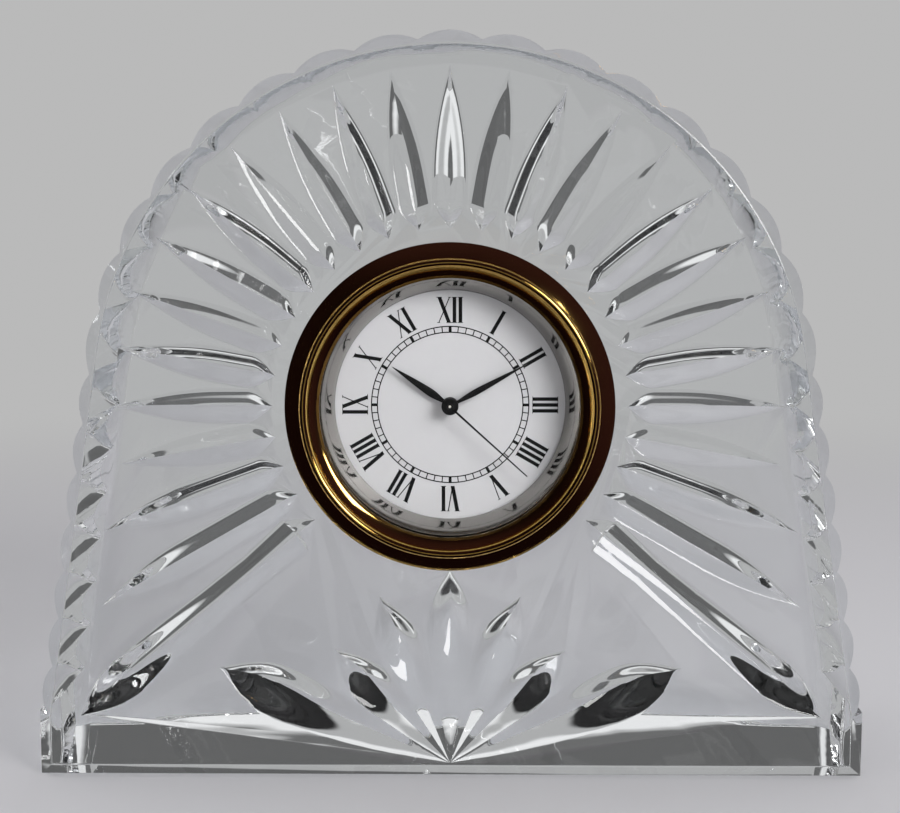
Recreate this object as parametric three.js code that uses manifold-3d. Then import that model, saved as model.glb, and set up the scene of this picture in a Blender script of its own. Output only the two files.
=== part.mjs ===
// Crystal desk clock: a cut glass dome with a push-in quartz clock.
// Millimetres. X to the right, +Z up, front towards -Y, origin in the middle of the glass foot.

import * as THREE from 'three';
import { mergeVertices } from 'three/addons/utils/BufferGeometryUtils.js';
import Module from 'manifold-3d';

const wasm = await Module();
wasm.setup();

// Glass block
const blockWidth = 114;
const blockDepth = 40;
const footHeight = 9;
const dialHeight = 51.8;
const domeRadius = 50;
const edgeChamfer = 1.8;
const chamferSpare = 0.6;
const boreRadius = 20;

// Scalloped rim of the dome: convex lobes that run from front to back
const scallopDepth = 1.2;
const scallopAngle = 10;
const scallopsBesideTop = 8;
const sideScallopPitch = 6.9;
const scallopSteps = 5;

// Ray cuts in the front face, made by a V-edged wheel and set round the clock
const cutFacetAngle = 45;
const cutFacetLength = 1.5;
const rayPitch = 10;
const raysBesideTop = 12;
const rayInnerRadius = 23.9;
const rayOuterRadius = 45.4;
const rayWheelRadius = 12;
const rayRootWheelRadius = 4;
const rayDepth = 2.4;
const longRayStart = 100;
const longRayGrowth = 0.48;

// The longest rays, which deepen from the clock to the bottom corners
const cornerCutAngle = 130.2;
const cornerCutDepth = 3.1;
const cornerCutLength = 42.8;
const cornerTipWheelRadius = 15;

// Fan of cuts that meet at the bottom of the front face
const fanHeight = 2.2;
const fanPitch = 22.3;
const fanLengths = [27.4, 25.4, 22.5, 34.4];
const fanDepths = [3.2, 3.2, 3.2, 4];
const fanTipWheelRadius = 11;

// Gaps between pieces, how far a cut runs past the face that it opens, and how far its runs overlap
const fitGap = 0.3;
const arborGap = 0.1;
const cutSpare = 1;
const cutOverlap = 0.02;

// Bezel, pressed over the front rim of the case
const bezelRadius = 22.1;
const bezelHeight = 4.4;
const bezelOpeningRadius = 17.4;
const bezelBeadRadius = 19.1;
const bezelGrooveRadius = 20.1;
const bezelGrooveHeight = 3.5;
const bezelLipHeight = 3.4;
const bezelRimHeight = 0.9;
const bezelEdgeSteps = 3;

// Front glass, reflector ring and dial
const lensThickness = 1.4;
const ringTopRadius = 17.3;
const ringBottomRadius = 15.6;
const ringHeight = 2.7;
const dialThickness = 0.4;

// Case cup that holds the movement, and the rubber ring that grips the bore
const cupRadius = 18.6;
const cupWall = 0.8;
const cupDepth = 16;
const cupFrontStep = 1;
const gripRingStart = 1.2;
const gripRingLength = 7;
const gripRingWall = 0.4;
const gripRibCount = 4;

// Nested arbors at the dial centre
const secondsArborRadius = 0.18;
const pipeWall = 0.2;
const arborRadius = 0.3;
const pivotRadius = 0.18;

// Hands, shown at ten past ten
const handThickness = 0.25;
const handLift = 0.65;
const handStep = 0.7;
const handNeckWidth = 0.3;
const handBellyShare = 0.34;
const hourHandLength = 9.4;
const hourHandWidth = 0.85;
const hourHandAngle = -56.2;
const minuteHandLength = 11.8;
const minuteHandWidth = 0.72;
const minuteHandAngle = 61.2;
const secondsHandLength = 14.1;
const secondsHandWidth = 0.22;
const secondsHandAngle = 132.3;
const handHubRadius = 1.15;

// Gear train: tooth counts and modules
const wheelThickness = 0.4;
const wheelStep = 0.8;
const pinionTeeth = 6;
const centreWheelTeeth = 48;
const thirdWheelTeeth = 45;
const secondsWheelTeeth = 30;
const intermediateWheelTeeth = 36;
const centreModule = 0.25;
const secondsModule = 0.38;
const rotorModule = 0.27;
const cannonTeeth = 10;
const minuteWheelTeeth = 30;
const minutePinionTeeth = 8;
const hourWheelTeeth = 32;
const settingPinionTeeth = 10;
const motionModule = 0.3;
const toothRoot = 1.1;
const toothTip = 0.75;
const toothRootShare = 0.24;
const toothTipShare = 0.1;

// Directions between the axles, seen from the front, in degrees from +X
const thirdWheelDirection = 0;
const intermediateDirection = -75;
const rotorDirection = -10;
const minuteWheelDirection = 90;
const settingDirection = 90;
const halfTurn = 180;

// Levels of the going train, counted back from the main plate
const centreLevel = 0;
const thirdLevel = 1;
const secondsLevel = 2;
const intermediateLevel = 3;
const magnetLevel = 4;

// Movement plates, their pillars and screws
const mainPlateThickness = 0.9;
const bridgeThickness = 0.6;
const bridgeCornerRadius = 1.8;
const trainSpace = 4.7;
const pillarRadius = 1.3;
const pillarPlaces = [[-4.4, -9], [8.8, -12.4], [0.5, 8.4]];
const screwHeadRadius = 1.1;
const screwHeadHeight = 0.5;
const screwRadius = 0.5;
const screwLength = 3;
const screwSlotWidth = 0.3;

// Stepping motor
const magnetRadius = 1.5;
const magnetHeight = 0.7;
const magnetGap = 0.4;
const statorRadius = 3.4;
const statorThickness = 0.6;
const statorLimbWidth = 1.5;
const coilPlaceX = 13.3;
const coilRadius = 1.8;
const coilLength = 9;
const coreWidth = 1.4;
const coreThickness = 1;
const coreEndLength = 2;

// Circuit board and what is on it
const boardThickness = 0.6;
const chipSize = 4;
const chipThickness = 0.9;
const chipPlace = [6, 3];
const quartzCanRadius = 0.7;
const quartzCanLength = 6;
const quartzCanPlace = [5, -5];

// Button cell, its contacts and its cover
const batteryRadius = 5.8;
const batteryHeight = 5.4;
const batteryStep = 0.5;
const batteryPlaceX = -10.5;
const contactThickness = 0.3;
const contactWidth = 2.4;
const contactReach = 7.6;
const contactFoot = 2.4;
const contactDirection = -50;
const coverRadius = 6.1;
const coverSlotWidth = 1.2;
const coverSlotLength = 7;
const coverSlotDepth = 0.4;

// Setting knob on the back
const knobRadius = 3.2;
const knobThickness = 2;
const knobRibs = 16;
const knobRibDepth = 0.25;
const stemRadius = 0.8;

const roundSteps = 40;
const smallRoundSteps = 12;

const radians = THREE.MathUtils.degToRad;

// A closed geometry becomes a solid that can be joined and cut.
function solid(geometry) {
  const bare = new THREE.BufferGeometry();
  bare.setAttribute('position', geometry.attributes.position);
  bare.setIndex(geometry.index);
  const merged = mergeVertices(bare, 1e-5);
  const corners = merged.index.array;
  const triangles = [];
  for (let i = 0; i < corners.length; i += 3) {
    const [a, b, c] = [corners[i], corners[i + 1], corners[i + 2]];
    if (a !== b && b !== c && c !== a) {
      triangles.push(a, b, c);
    }
  }
  return new wasm.Manifold(new wasm.Mesh({
    numProp: 3,
    vertProperties: merged.attributes.position.array,
    triVerts: new Uint32Array(triangles),
  }));
}

function join(...pieces) {
  return pieces.reduce((whole, piece) => whole.add(piece));
}

// A named piece of the clock in its own material.
function piece(name, shape, finish, parent) {
  const { vertProperties, triVerts } = shape.getMesh();
  const geometry = new THREE.BufferGeometry();
  geometry.setAttribute('position', new THREE.BufferAttribute(new Float32Array(vertProperties), 3));
  geometry.setIndex(new THREE.BufferAttribute(new Uint32Array(triVerts), 1));
  geometry.computeVertexNormals();
  const mesh = new THREE.Mesh(geometry, new THREE.MeshStandardMaterial(finish));
  mesh.name = name;
  parent.add(mesh);
  return mesh;
}

// A closed (radius, height) outline turned round the dial axis, which is local Z.
function turned(outline, steps = roundSteps) {
  const points = outline.map(([radius, height]) => new THREE.Vector2(radius, height));
  if (THREE.ShapeUtils.area(points) < 0) {
    points.reverse();
  }
  points.push(points[0].clone());
  return solid(new THREE.LatheGeometry(points, steps).rotateX(Math.PI / 2));
}

function disc(radius, bottom, top, steps = roundSteps) {
  return turned([[0, bottom], [radius, bottom], [radius, top], [0, top]], steps);
}

function ring(outer, inner, bottom, top, steps = roundSteps) {
  return turned([[inner, bottom], [outer, bottom], [outer, top], [inner, top]], steps);
}

function box(left, right, low, high, bottom, top) {
  const geometry = new THREE.BoxGeometry(right - left, high - low, top - bottom);
  geometry.translate((left + right) / 2, (low + high) / 2, (bottom + top) / 2);
  return solid(geometry);
}

function plate(points, bottom, top) {
  const geometry = new THREE.ExtrudeGeometry(new THREE.Shape(points), {
    depth: top - bottom,
    bevelEnabled: false,
  });
  return solid(geometry.translate(0, 0, bottom));
}

// A bar of constant width between two places on a plate.
function limb(from, to, width, bottom, top) {
  const along = to.clone().sub(from);
  const bar = box(0, along.length(), -width / 2, width / 2, bottom, top);
  return bar.rotate([0, 0, THREE.MathUtils.radToDeg(along.angle())]).translate([from.x, from.y, 0]);
}

function at(place, shape) {
  return shape.translate([place.x, place.y, 0]);
}

// Outline of a spur gear with straight-sided teeth. A tooth is centred on +X.
function gear(teeth, module, bottom, top) {
  const pitch = (2 * Math.PI) / teeth;
  const pitchRadius = (teeth * module) / 2;
  const rootRadius = pitchRadius - toothRoot * module;
  const tipRadius = pitchRadius + toothTip * module;
  const points = [];
  for (let i = 0; i < teeth; i += 1) {
    const middle = i * pitch;
    const corners = [
      [rootRadius, -toothRootShare],
      [tipRadius, -toothTipShare],
      [tipRadius, toothTipShare],
      [rootRadius, toothRootShare],
    ];
    for (const [radius, share] of corners) {
      const angle = middle + share * pitch;
      points.push(new THREE.Vector2(radius * Math.cos(angle), radius * Math.sin(angle)));
    }
  }
  return plate(points, bottom, top);
}

function centreDistance(teethA, teethB, module) {
  return ((teethA + teethB) * module) / 2;
}

function polar(distance, degrees, from = new THREE.Vector2()) {
  const angle = radians(degrees);
  return new THREE.Vector2(distance * Math.cos(angle), distance * Math.sin(angle)).add(from);
}

// Turn, in degrees, that puts a tooth space of the driven gear opposite a tooth of its driver.
function meshTurn(driverTeeth, driverTurn, drivenTeeth, direction) {
  const driverPhase = ((direction - driverTurn) * driverTeeth) / (2 * halfTurn);
  return direction + halfTurn - ((0.5 - driverPhase) * 2 * halfTurn) / drivenTeeth;
}

// Finishes
const crystalGlass = { color: 0xe9edf0, roughness: 0.02, metalness: 0 };
const goldPlate = { color: 0xb08a3e, roughness: 0.12, metalness: 1 };
const mineralGlass = { color: 0xf2f5f5, roughness: 0.02, metalness: 0 };
const silverRing = { color: 0xc9cbcc, roughness: 0.15, metalness: 1 };
const whiteDial = { color: 0xe4e5e6, roughness: 0.45, metalness: 0 };
const blackHand = { color: 0x0c0c0e, roughness: 0.35, metalness: 0 };
const blackPlastic = { color: 0x1c1d1f, roughness: 0.5, metalness: 0 };
const creamPlastic = { color: 0xd9d5c8, roughness: 0.5, metalness: 0 };
const whiteNylon = { color: 0xe8e6de, roughness: 0.45, metalness: 0 };
const brass = { color: 0xc09a4e, roughness: 0.3, metalness: 1 };
const steel = { color: 0xa9abad, roughness: 0.3, metalness: 1 };
const greyMagnet = { color: 0x4b4c50, roughness: 0.4, metalness: 1 };
const copperWire = { color: 0xb4622e, roughness: 0.35, metalness: 1 };
const greenBoard = { color: 0x1f5a38, roughness: 0.5, metalness: 0 };
const clearRubber = { color: 0xd4d3cb, roughness: 0.6, metalness: 0 };

const clock = new THREE.Group();

// The clock is built lying on its back and stood up: local Y is height, local Z is forward.
const upright = new THREE.Group();
upright.rotation.x = Math.PI / 2;
clock.add(upright);
const insert = new THREE.Group();
insert.position.set(0, dialHeight, blockDepth / 2);
upright.add(insert);

// Crystal body

const halfWidth = blockWidth / 2;
const frontFace = blockDepth / 2;
const footCorner = new THREE.Vector2(halfWidth, footHeight - dialHeight);
const tangentTurn = Math.acos(domeRadius / footCorner.length());
const flankTurn = Math.atan2(footCorner.x, footCorner.y) - tangentTurn;
const flankLength = Math.sqrt(footCorner.lengthSq() - domeRadius ** 2);
const archLength = domeRadius * flankTurn;

// A point on the smooth dome, a distance along from its top, moved in by an inset.
function domePoint(along, inset) {
  const turn = Math.min(along / domeRadius, flankTurn);
  const down = Math.max(along - archLength, 0);
  const radius = domeRadius - inset;
  const x = radius * Math.sin(turn) + down * Math.cos(turn);
  const y = dialHeight + radius * Math.cos(turn) - down * Math.sin(turn);
  return new THREE.Vector2(x, y);
}

function mirrored(points) {
  return points.map(({ x, y }) => new THREE.Vector2(-x, y)).reverse();
}

// Places along the dome where two lobes of the rim meet.
function scallopCusps() {
  const cusps = [];
  for (let i = 0; i <= scallopsBesideTop; i += 1) {
    cusps.push(domeRadius * radians(scallopAngle * (i + 0.5)));
  }
  const last = cusps[cusps.length - 1];
  const rest = archLength + flankLength - last;
  const count = Math.round(rest / sideScallopPitch);
  for (let i = 1; i <= count; i += 1) {
    cusps.push(last + (rest * i) / count);
  }
  return cusps;
}

function scallopedOutline() {
  const cusps = scallopCusps();
  const points = [];
  let start = -cusps[0];
  for (const end of cusps) {
    for (let i = 0; i < scallopSteps; i += 1) {
      const share = (2 * i) / scallopSteps - 1;
      const along = start + ((end - start) * (share + 1)) / 2;
      if (along >= 0) {
        points.push(domePoint(along, scallopDepth * share ** 2));
      }
    }
    start = end;
  }
  points.push(domePoint(start, scallopDepth));
  points.push(new THREE.Vector2(halfWidth, footHeight));
  points.push(new THREE.Vector2(halfWidth, 0));
  return [...mirrored(points), ...points];
}

// The smooth outline inside the chamfer, for the two bevelled faces.
function facedOutline(inset) {
  const points = [];
  const steps = roundSteps / 2;
  for (let i = 0; i <= steps; i += 1) {
    if (i > 0) {
      points.push(domePoint((archLength * i) / steps, inset));
    }
  }
  const flankNormal = new THREE.Vector2(Math.sin(flankTurn), Math.cos(flankTurn));
  const footNormal = new THREE.Vector2(1, 0);
  const mitre = flankNormal.clone().add(footNormal).divideScalar(1 + flankNormal.dot(footNormal));
  points.push(new THREE.Vector2(halfWidth, footHeight).sub(mitre.multiplyScalar(inset)));
  points.push(new THREE.Vector2(halfWidth - inset, inset));
  return [...mirrored(points), domePoint(0, inset), ...points];
}

// Half of a V-edged cutting wheel that touches depth below the face, on one side of its axle.
function halfWheel(radius, depth, side) {
  const steps = 4 * Math.round((2 * Math.PI * radius) / (4 * cutFacetLength));
  const thickness = radius / Math.tan(radians(cutFacetAngle));
  const rim = [[0, -thickness], [radius, 0], [0, thickness]];
  const points = rim.map(([x, y]) => new THREE.Vector2(x, y));
  const wheel = solid(new THREE.LatheGeometry(points, steps).translate(0, 0, radius - depth));
  const reach = 2 * radius;
  const left = side < 0 ? -reach : -cutOverlap;
  const right = side < 0 ? cutOverlap : reach;
  return wheel.intersect(box(left, right, -reach, reach, -reach, 2 * reach));
}

// A straight V cut along +X from depth to depth, open above the face.
function straightCut(length, startDepth, endDepth, height) {
  const spread = 1 / Math.tan(radians(cutFacetAngle));
  const tilt = Math.atan2(endDepth - startDepth, length);
  const rise = height + startDepth;
  const section = [[0, 0], [-rise * spread, rise], [rise * spread, rise]];
  const points = section.map(([x, y]) => new THREE.Vector2(x, y));
  const geometry = new THREE.ExtrudeGeometry(new THREE.Shape(points), {
    depth: length / Math.cos(tilt),
    bevelEnabled: false,
  });
  geometry.rotateX(Math.PI / 2).rotateZ(Math.PI / 2).rotateY(tilt);
  return solid(geometry.translate(0, 0, -startDepth));
}

function wheelReach(radius, depth) {
  return Math.sqrt(2 * radius * depth - depth ** 2);
}

// Leaf-shaped cut from x = 0 to its length, by a wheel that dips in, runs along and lifts out.
function leafCut(length, startWheel, startDepth, endWheel = startWheel, endDepth = startDepth) {
  const startReach = wheelReach(startWheel, startDepth);
  const run = length - startReach - wheelReach(endWheel, endDepth);
  const start = halfWheel(startWheel, startDepth, -1).translate([startReach, 0, 0]);
  const end = halfWheel(endWheel, endDepth, 1).translate([startReach + run, 0, 0]);
  if (run < cutFacetLength) {
    return join(start, end);
  }
  const height = Math.min(startWheel, endWheel) / 2;
  const middle = straightCut(run, startDepth, endDepth, height).translate([startReach, 0, 0]);
  return join(start, end, middle);
}

// Sets a cut on the front face, at a clock angle (degrees clockwise from 12) from a centre.
function onFace(cut, clockAngle, centreHeight, distance) {
  return cut
    .translate([distance, 0, 0])
    .rotate([0, 0, 90 - clockAngle])
    .translate([0, centreHeight, frontFace]);
}

function rayCuts() {
  const cuts = [];
  for (let i = -raysBesideTop; i <= raysBesideTop; i += 1) {
    const angle = i * rayPitch;
    const extra = Math.max(Math.abs(angle) - longRayStart, 0) * longRayGrowth;
    const length = rayOuterRadius + extra - rayInnerRadius;
    const cut = leafCut(length, rayRootWheelRadius, rayDepth, rayWheelRadius);
    cuts.push(onFace(cut, angle, dialHeight, rayInnerRadius));
  }
  return cuts;
}

function cornerCuts() {
  return [-cornerCutAngle, cornerCutAngle].map((angle) => {
    const cut = leafCut(
      cornerCutLength,
      rayRootWheelRadius,
      rayDepth,
      cornerTipWheelRadius,
      cornerCutDepth,
    );
    return onFace(cut, angle, dialHeight, rayInnerRadius);
  });
}

function fanCuts() {
  const cuts = [];
  fanLengths.forEach((length, i) => {
    const depth = fanDepths[i];
    const tipReach = wheelReach(fanTipWheelRadius, depth);
    const rootReach = length - tipReach;
    const rootWheel = (rootReach ** 2 + depth ** 2) / (2 * depth);
    const cut = leafCut(length, rootWheel, depth, fanTipWheelRadius);
    const angles = i === 0 ? [0] : [-i * fanPitch, i * fanPitch];
    for (const angle of angles) {
      cuts.push(onFace(cut, angle, fanHeight, 0));
    }
  });
  return cuts;
}

function crystalBody() {
  const inset = edgeChamfer;
  const bevel = edgeChamfer + chamferSpare;
  const faced = new THREE.ExtrudeGeometry(new THREE.Shape(facedOutline(inset)), {
    depth: blockDepth - 2 * bevel,
    bevelThickness: bevel,
    bevelSize: bevel,
    bevelSegments: 1,
  });
  faced.translate(0, 0, bevel - blockDepth / 2);
  const rough = plate(scallopedOutline(), -blockDepth / 2, blockDepth / 2);
  const bore = disc(boreRadius, -blockDepth, blockDepth).translate([0, dialHeight, 0]);
  const cutters = join(bore, ...rayCuts(), ...cornerCuts(), ...fanCuts());
  return rough.intersect(solid(faced)).subtract(cutters);
}

piece('crystal_body', crystalBody(), crystalGlass, upright);

// Heights in the insert, measured forward from the front face of the glass

const cupInnerRadius = cupRadius - cupWall;
const lensBottom = cupFrontStep + fitGap;
const lensTop = lensBottom + lensThickness;
const dialTop = cupFrontStep - ringHeight - fitGap;
const dialBottom = dialTop - dialThickness;
const hourWheelTop = dialBottom - fitGap;
const minuteWheelTop = hourWheelTop - wheelStep;
const mainPlateTop = minuteWheelTop - wheelThickness - fitGap;
const mainPlateBottom = mainPlateTop - mainPlateThickness;
const bridgeTop = mainPlateBottom - trainSpace;
const bridgeBottom = bridgeTop - bridgeThickness;
const screwHeadTop = bridgeBottom - fitGap;
const boardTop = screwHeadTop - screwHeadHeight - fitGap;
const boardBottom = boardTop - boardThickness;
const cupBottom = cupFrontStep - cupDepth;
const cupFloor = cupBottom + cupWall;

function trainTop(level) {
  return mainPlateBottom - fitGap - level * wheelStep;
}

// Places of the axles, seen from the front, measured from the dial centre

const centre = new THREE.Vector2();
const thirdDistance = centreDistance(pinionTeeth, centreWheelTeeth, centreModule);
const thirdModule = (2 * thirdDistance) / (pinionTeeth + thirdWheelTeeth);
const thirdPlace = polar(thirdDistance, thirdWheelDirection);
const intermediateDistance = centreDistance(pinionTeeth, secondsWheelTeeth, secondsModule);
const intermediatePlace = polar(intermediateDistance, intermediateDirection);
const rotorDistance = centreDistance(pinionTeeth, intermediateWheelTeeth, rotorModule);
const rotorPlace = polar(rotorDistance, rotorDirection, intermediatePlace);
const minuteWheelDistance = centreDistance(cannonTeeth, minuteWheelTeeth, motionModule);
const minuteWheelPlace = polar(minuteWheelDistance, minuteWheelDirection);
const settingDistance = centreDistance(settingPinionTeeth, minuteWheelTeeth, motionModule);
const settingPlace = polar(settingDistance, settingDirection, minuteWheelPlace);
const batteryPlace = new THREE.Vector2(batteryPlaceX, 0);
const pillars = pillarPlaces.map(([x, y]) => new THREE.Vector2(x, y));

const cannonBore = secondsArborRadius + arborGap;
const cannonRadius = cannonBore + pipeWall;
const hourPipeBore = cannonRadius + arborGap;
const hourPipeRadius = hourPipeBore + pipeWall;

// Front of the clock

function bezel() {
  const recess = cupRadius + fitGap;
  const shoulder = bezelRadius - bezelGrooveRadius;
  const outline = [[recess, fitGap], [bezelRadius - fitGap, fitGap], [bezelRadius, bezelRimHeight]];
  for (let i = 1; i <= bezelEdgeSteps; i += 1) {
    const turn = radians((90 * i) / bezelEdgeSteps);
    const rise = bezelGrooveHeight - bezelRimHeight;
    const radius = bezelGrooveRadius + shoulder * Math.cos(turn);
    outline.push([radius, bezelRimHeight + rise * Math.sin(turn)]);
  }
  const beadWidth = bezelGrooveRadius - bezelBeadRadius;
  const beadRise = bezelHeight - bezelGrooveHeight;
  for (let i = 1; i <= 2 * bezelEdgeSteps; i += 1) {
    const turn = radians((90 * i) / bezelEdgeSteps);
    const radius = bezelBeadRadius + beadWidth * Math.cos(turn);
    outline.push([radius, bezelGrooveHeight + beadRise * Math.sin(turn)]);
  }
  outline.push([bezelOpeningRadius, bezelLipHeight]);
  outline.push([bezelOpeningRadius, lensTop + fitGap]);
  outline.push([recess, lensTop + fitGap]);
  return turned(outline);
}

piece('bezel', bezel(), goldPlate, insert);
piece('lens', disc(cupRadius, lensBottom, lensTop), mineralGlass, insert);
piece('reflector_ring', turned([
  [cupInnerRadius - fitGap, cupFrontStep - ringHeight],
  [cupInnerRadius - fitGap, cupFrontStep],
  [ringTopRadius, cupFrontStep],
  [ringBottomRadius, cupFrontStep - ringHeight],
]), silverRing, insert);
const dialHole = hourPipeRadius + arborGap;
piece('dial', ring(cupInnerRadius - fitGap, dialHole, dialBottom, dialTop), whiteDial, insert);

// Hands

// A round hole along the dial axis, through every piece of the insert.
function bored(radius) {
  return disc(radius, cupBottom - cutSpare, bezelHeight + cutSpare, smallRoundSteps);
}

// Slim leaf: a narrow neck at the hub, a belly a third of the way out, and a long point.
function leafHand(length, width, pipeRadius, bottom) {
  const belly = handBellyShare * length;
  const neck = handNeckWidth / 2;
  const shape = new THREE.Shape();
  shape.moveTo(0, -neck);
  shape.quadraticCurveTo(belly / 2, -neck, belly, -width / 2);
  shape.quadraticCurveTo(length / 2, -width / 2, length, 0);
  shape.quadraticCurveTo(length / 2, width / 2, belly, width / 2);
  shape.quadraticCurveTo(belly / 2, neck, 0, neck);
  const blade = plate(shape.getPoints(4), bottom, bottom + handThickness);
  const hub = disc(handHubRadius, bottom, bottom + handThickness, smallRoundSteps);
  return join(blade, hub).subtract(bored(pipeRadius + arborGap));
}

function secondsHand(bottom) {
  const half = secondsHandWidth / 2;
  const points = [[0, -half], [secondsHandLength, -half / 2], [secondsHandLength, half / 2], [0, half]];
  const needle = plate(
    points.map(([x, y]) => new THREE.Vector2(x, y)),
    bottom,
    bottom + handThickness,
  );
  const hub = disc(handHubRadius, bottom, bottom + handThickness, smallRoundSteps);
  return join(needle, hub).subtract(bored(secondsArborRadius + arborGap));
}

function pointed(hand, clockAngle) {
  return hand.rotate([0, 0, 90 - clockAngle]);
}

const hourHandBottom = dialTop + handLift;
const minuteHandBottom = hourHandBottom + handStep;
const secondsHandBottom = minuteHandBottom + handStep;
const hourHand = leafHand(hourHandLength, hourHandWidth, hourPipeRadius, hourHandBottom);
const minuteHand = leafHand(minuteHandLength, minuteHandWidth, cannonRadius, minuteHandBottom);
piece('hour_hand', pointed(hourHand, hourHandAngle), blackHand, insert);
piece('minute_hand', pointed(minuteHand, minuteHandAngle), blackHand, insert);
piece('seconds_hand', pointed(secondsHand(secondsHandBottom), secondsHandAngle), blackHand, insert);

// Case

function caseCup() {
  const shell = turned([
    [0, cupBottom],
    [cupRadius, cupBottom],
    [cupRadius, cupFrontStep],
    [cupInnerRadius, cupFrontStep],
    [cupInnerRadius, cupFloor],
    [0, cupFloor],
  ]);
  const hatch = disc(coverRadius + fitGap, cupBottom - cutSpare, cupFloor + cutSpare);
  const stemHole = bored(stemRadius + arborGap);
  return shell.subtract(at(batteryPlace, hatch)).subtract(at(settingPlace, stemHole));
}

// Rubber ring with round ribs that grip the bore.
function gripRing() {
  const inner = cupRadius + fitGap;
  const wall = inner + gripRingWall;
  const rib = boreRadius - fitGap;
  const pitch = gripRingLength / gripRibCount;
  const outline = [[inner, -gripRingStart - gripRingLength]];
  for (let i = gripRibCount; i > 0; i -= 1) {
    const low = -gripRingStart - i * pitch;
    outline.push([wall, low]);
    outline.push([rib, low + pitch / 3]);
    outline.push([rib, low + (2 * pitch) / 3]);
  }
  outline.push([wall, -gripRingStart]);
  outline.push([inner, -gripRingStart]);
  return turned(outline);
}

piece('case_cup', caseCup(), blackPlastic, insert);
piece('grip_ring', gripRing(), clearRubber, insert);

// Motion work between the dial and the main plate

const minuteWheelBottom = minuteWheelTop - wheelThickness;
const cannonTurn = 90 - minuteHandAngle;
const minuteWheelTurn = meshTurn(cannonTeeth, cannonTurn, minuteWheelTeeth, minuteWheelDirection);
const minutePinionTurn = minuteWheelTurn;
const hourWheelTurn = meshTurn(
  minutePinionTeeth,
  minutePinionTurn,
  hourWheelTeeth,
  minuteWheelDirection + halfTurn,
);
const settingTurn = meshTurn(
  minuteWheelTeeth,
  minuteWheelTurn,
  settingPinionTeeth,
  settingDirection,
);

function turnedGear(teeth, module, turn, bottom, top) {
  return gear(teeth, module, bottom, top).rotate([0, 0, turn]);
}

const cannonPinion = join(
  turnedGear(cannonTeeth, motionModule, cannonTurn, minuteWheelBottom, minuteWheelTop),
  disc(cannonRadius, minuteWheelBottom, minuteHandBottom + handThickness, smallRoundSteps),
).subtract(bored(cannonBore));
piece('cannon_pinion', cannonPinion, brass, insert);

const hourWheelBottom = hourWheelTop - wheelThickness;
const hourWheel = join(
  turnedGear(hourWheelTeeth, motionModule, hourWheelTurn, hourWheelBottom, hourWheelTop),
  disc(hourPipeRadius, hourWheelBottom, hourHandBottom + handThickness, smallRoundSteps),
).subtract(bored(hourPipeBore));
piece('hour_wheel', hourWheel, whiteNylon, insert);

const minuteWheel = join(
  turnedGear(minuteWheelTeeth, motionModule, minuteWheelTurn, minuteWheelBottom, minuteWheelTop),
  turnedGear(minutePinionTeeth, motionModule, minutePinionTurn, minuteWheelTop, hourWheelTop),
  disc(pivotRadius, mainPlateBottom, minuteWheelBottom, smallRoundSteps),
);
piece('minute_wheel', at(minuteWheelPlace, minuteWheel), whiteNylon, insert);

const knobTop = cupBottom - fitGap;
const stem = join(
  turnedGear(settingPinionTeeth, motionModule, settingTurn, minuteWheelBottom, minuteWheelTop),
  disc(stemRadius, knobTop - knobThickness / 2, minuteWheelBottom, smallRoundSteps),
);
piece('setting_stem', at(settingPlace, stem), whiteNylon, insert);

function settingKnob() {
  const points = [];
  for (let i = 0; i < 2 * knobRibs; i += 1) {
    const turn = (Math.PI * i) / knobRibs;
    const radius = knobRadius - (i % 2) * knobRibDepth;
    points.push(new THREE.Vector2(radius * Math.cos(turn), radius * Math.sin(turn)));
  }
  const grip = plate(points, knobTop - knobThickness, knobTop);
  const socketFloor = knobTop - knobThickness / 2 - arborGap;
  const socket = disc(stemRadius + arborGap, socketFloor, knobTop + cutSpare, smallRoundSteps);
  return grip.subtract(socket);
}

piece('setting_knob', at(settingPlace, settingKnob()), blackPlastic, insert);

// Plates of the movement

function mainPlate() {
  const rim = cupInnerRadius - fitGap;
  let shape = disc(rim, mainPlateBottom, mainPlateTop);
  for (const place of pillars) {
    const pillar = disc(pillarRadius, bridgeTop + fitGap, mainPlateBottom, smallRoundSteps);
    shape = shape.add(at(place, pillar));
    const thread = disc(
      screwRadius + arborGap,
      cupBottom,
      screwHeadTop + screwLength + arborGap,
      smallRoundSteps,
    );
    shape = shape.subtract(at(place, thread));
  }
  const wheels = [thirdPlace, intermediatePlace, rotorPlace, minuteWheelPlace];
  for (const place of wheels) {
    shape = shape.subtract(at(place, bored(pivotRadius + arborGap)));
  }
  shape = shape.subtract(bored(cannonRadius + arborGap));
  return shape.subtract(at(settingPlace, bored(stemRadius + arborGap)));
}

function trainBridge() {
  const edge = thirdPlace.x + bridgeCornerRadius;
  const corners = [pillars[0], pillars[1], new THREE.Vector2(edge, thirdPlace.y), pillars[2]];
  let shape = plate(corners, bridgeBottom, bridgeTop);
  for (const place of corners) {
    shape = shape.add(at(place, disc(bridgeCornerRadius, bridgeBottom, bridgeTop, roundSteps / 2)));
  }
  for (const place of pillars) {
    shape = shape.subtract(at(place, bored(screwRadius + arborGap)));
  }
  for (const place of [centre, thirdPlace, intermediatePlace, rotorPlace]) {
    shape = shape.subtract(at(place, bored(pivotRadius + arborGap)));
  }
  return shape;
}

function bridgeScrew() {
  const head = disc(screwHeadRadius, screwHeadTop - screwHeadHeight, screwHeadTop, smallRoundSteps);
  const shank = disc(screwRadius, screwHeadTop, screwHeadTop + screwLength, smallRoundSteps);
  const slotTop = screwHeadTop - screwHeadHeight / 2;
  const half = screwSlotWidth / 2;
  const slot = box(-screwHeadRadius, screwHeadRadius, -half, half, boardTop, slotTop);
  return join(head, shank).subtract(slot);
}

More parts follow.
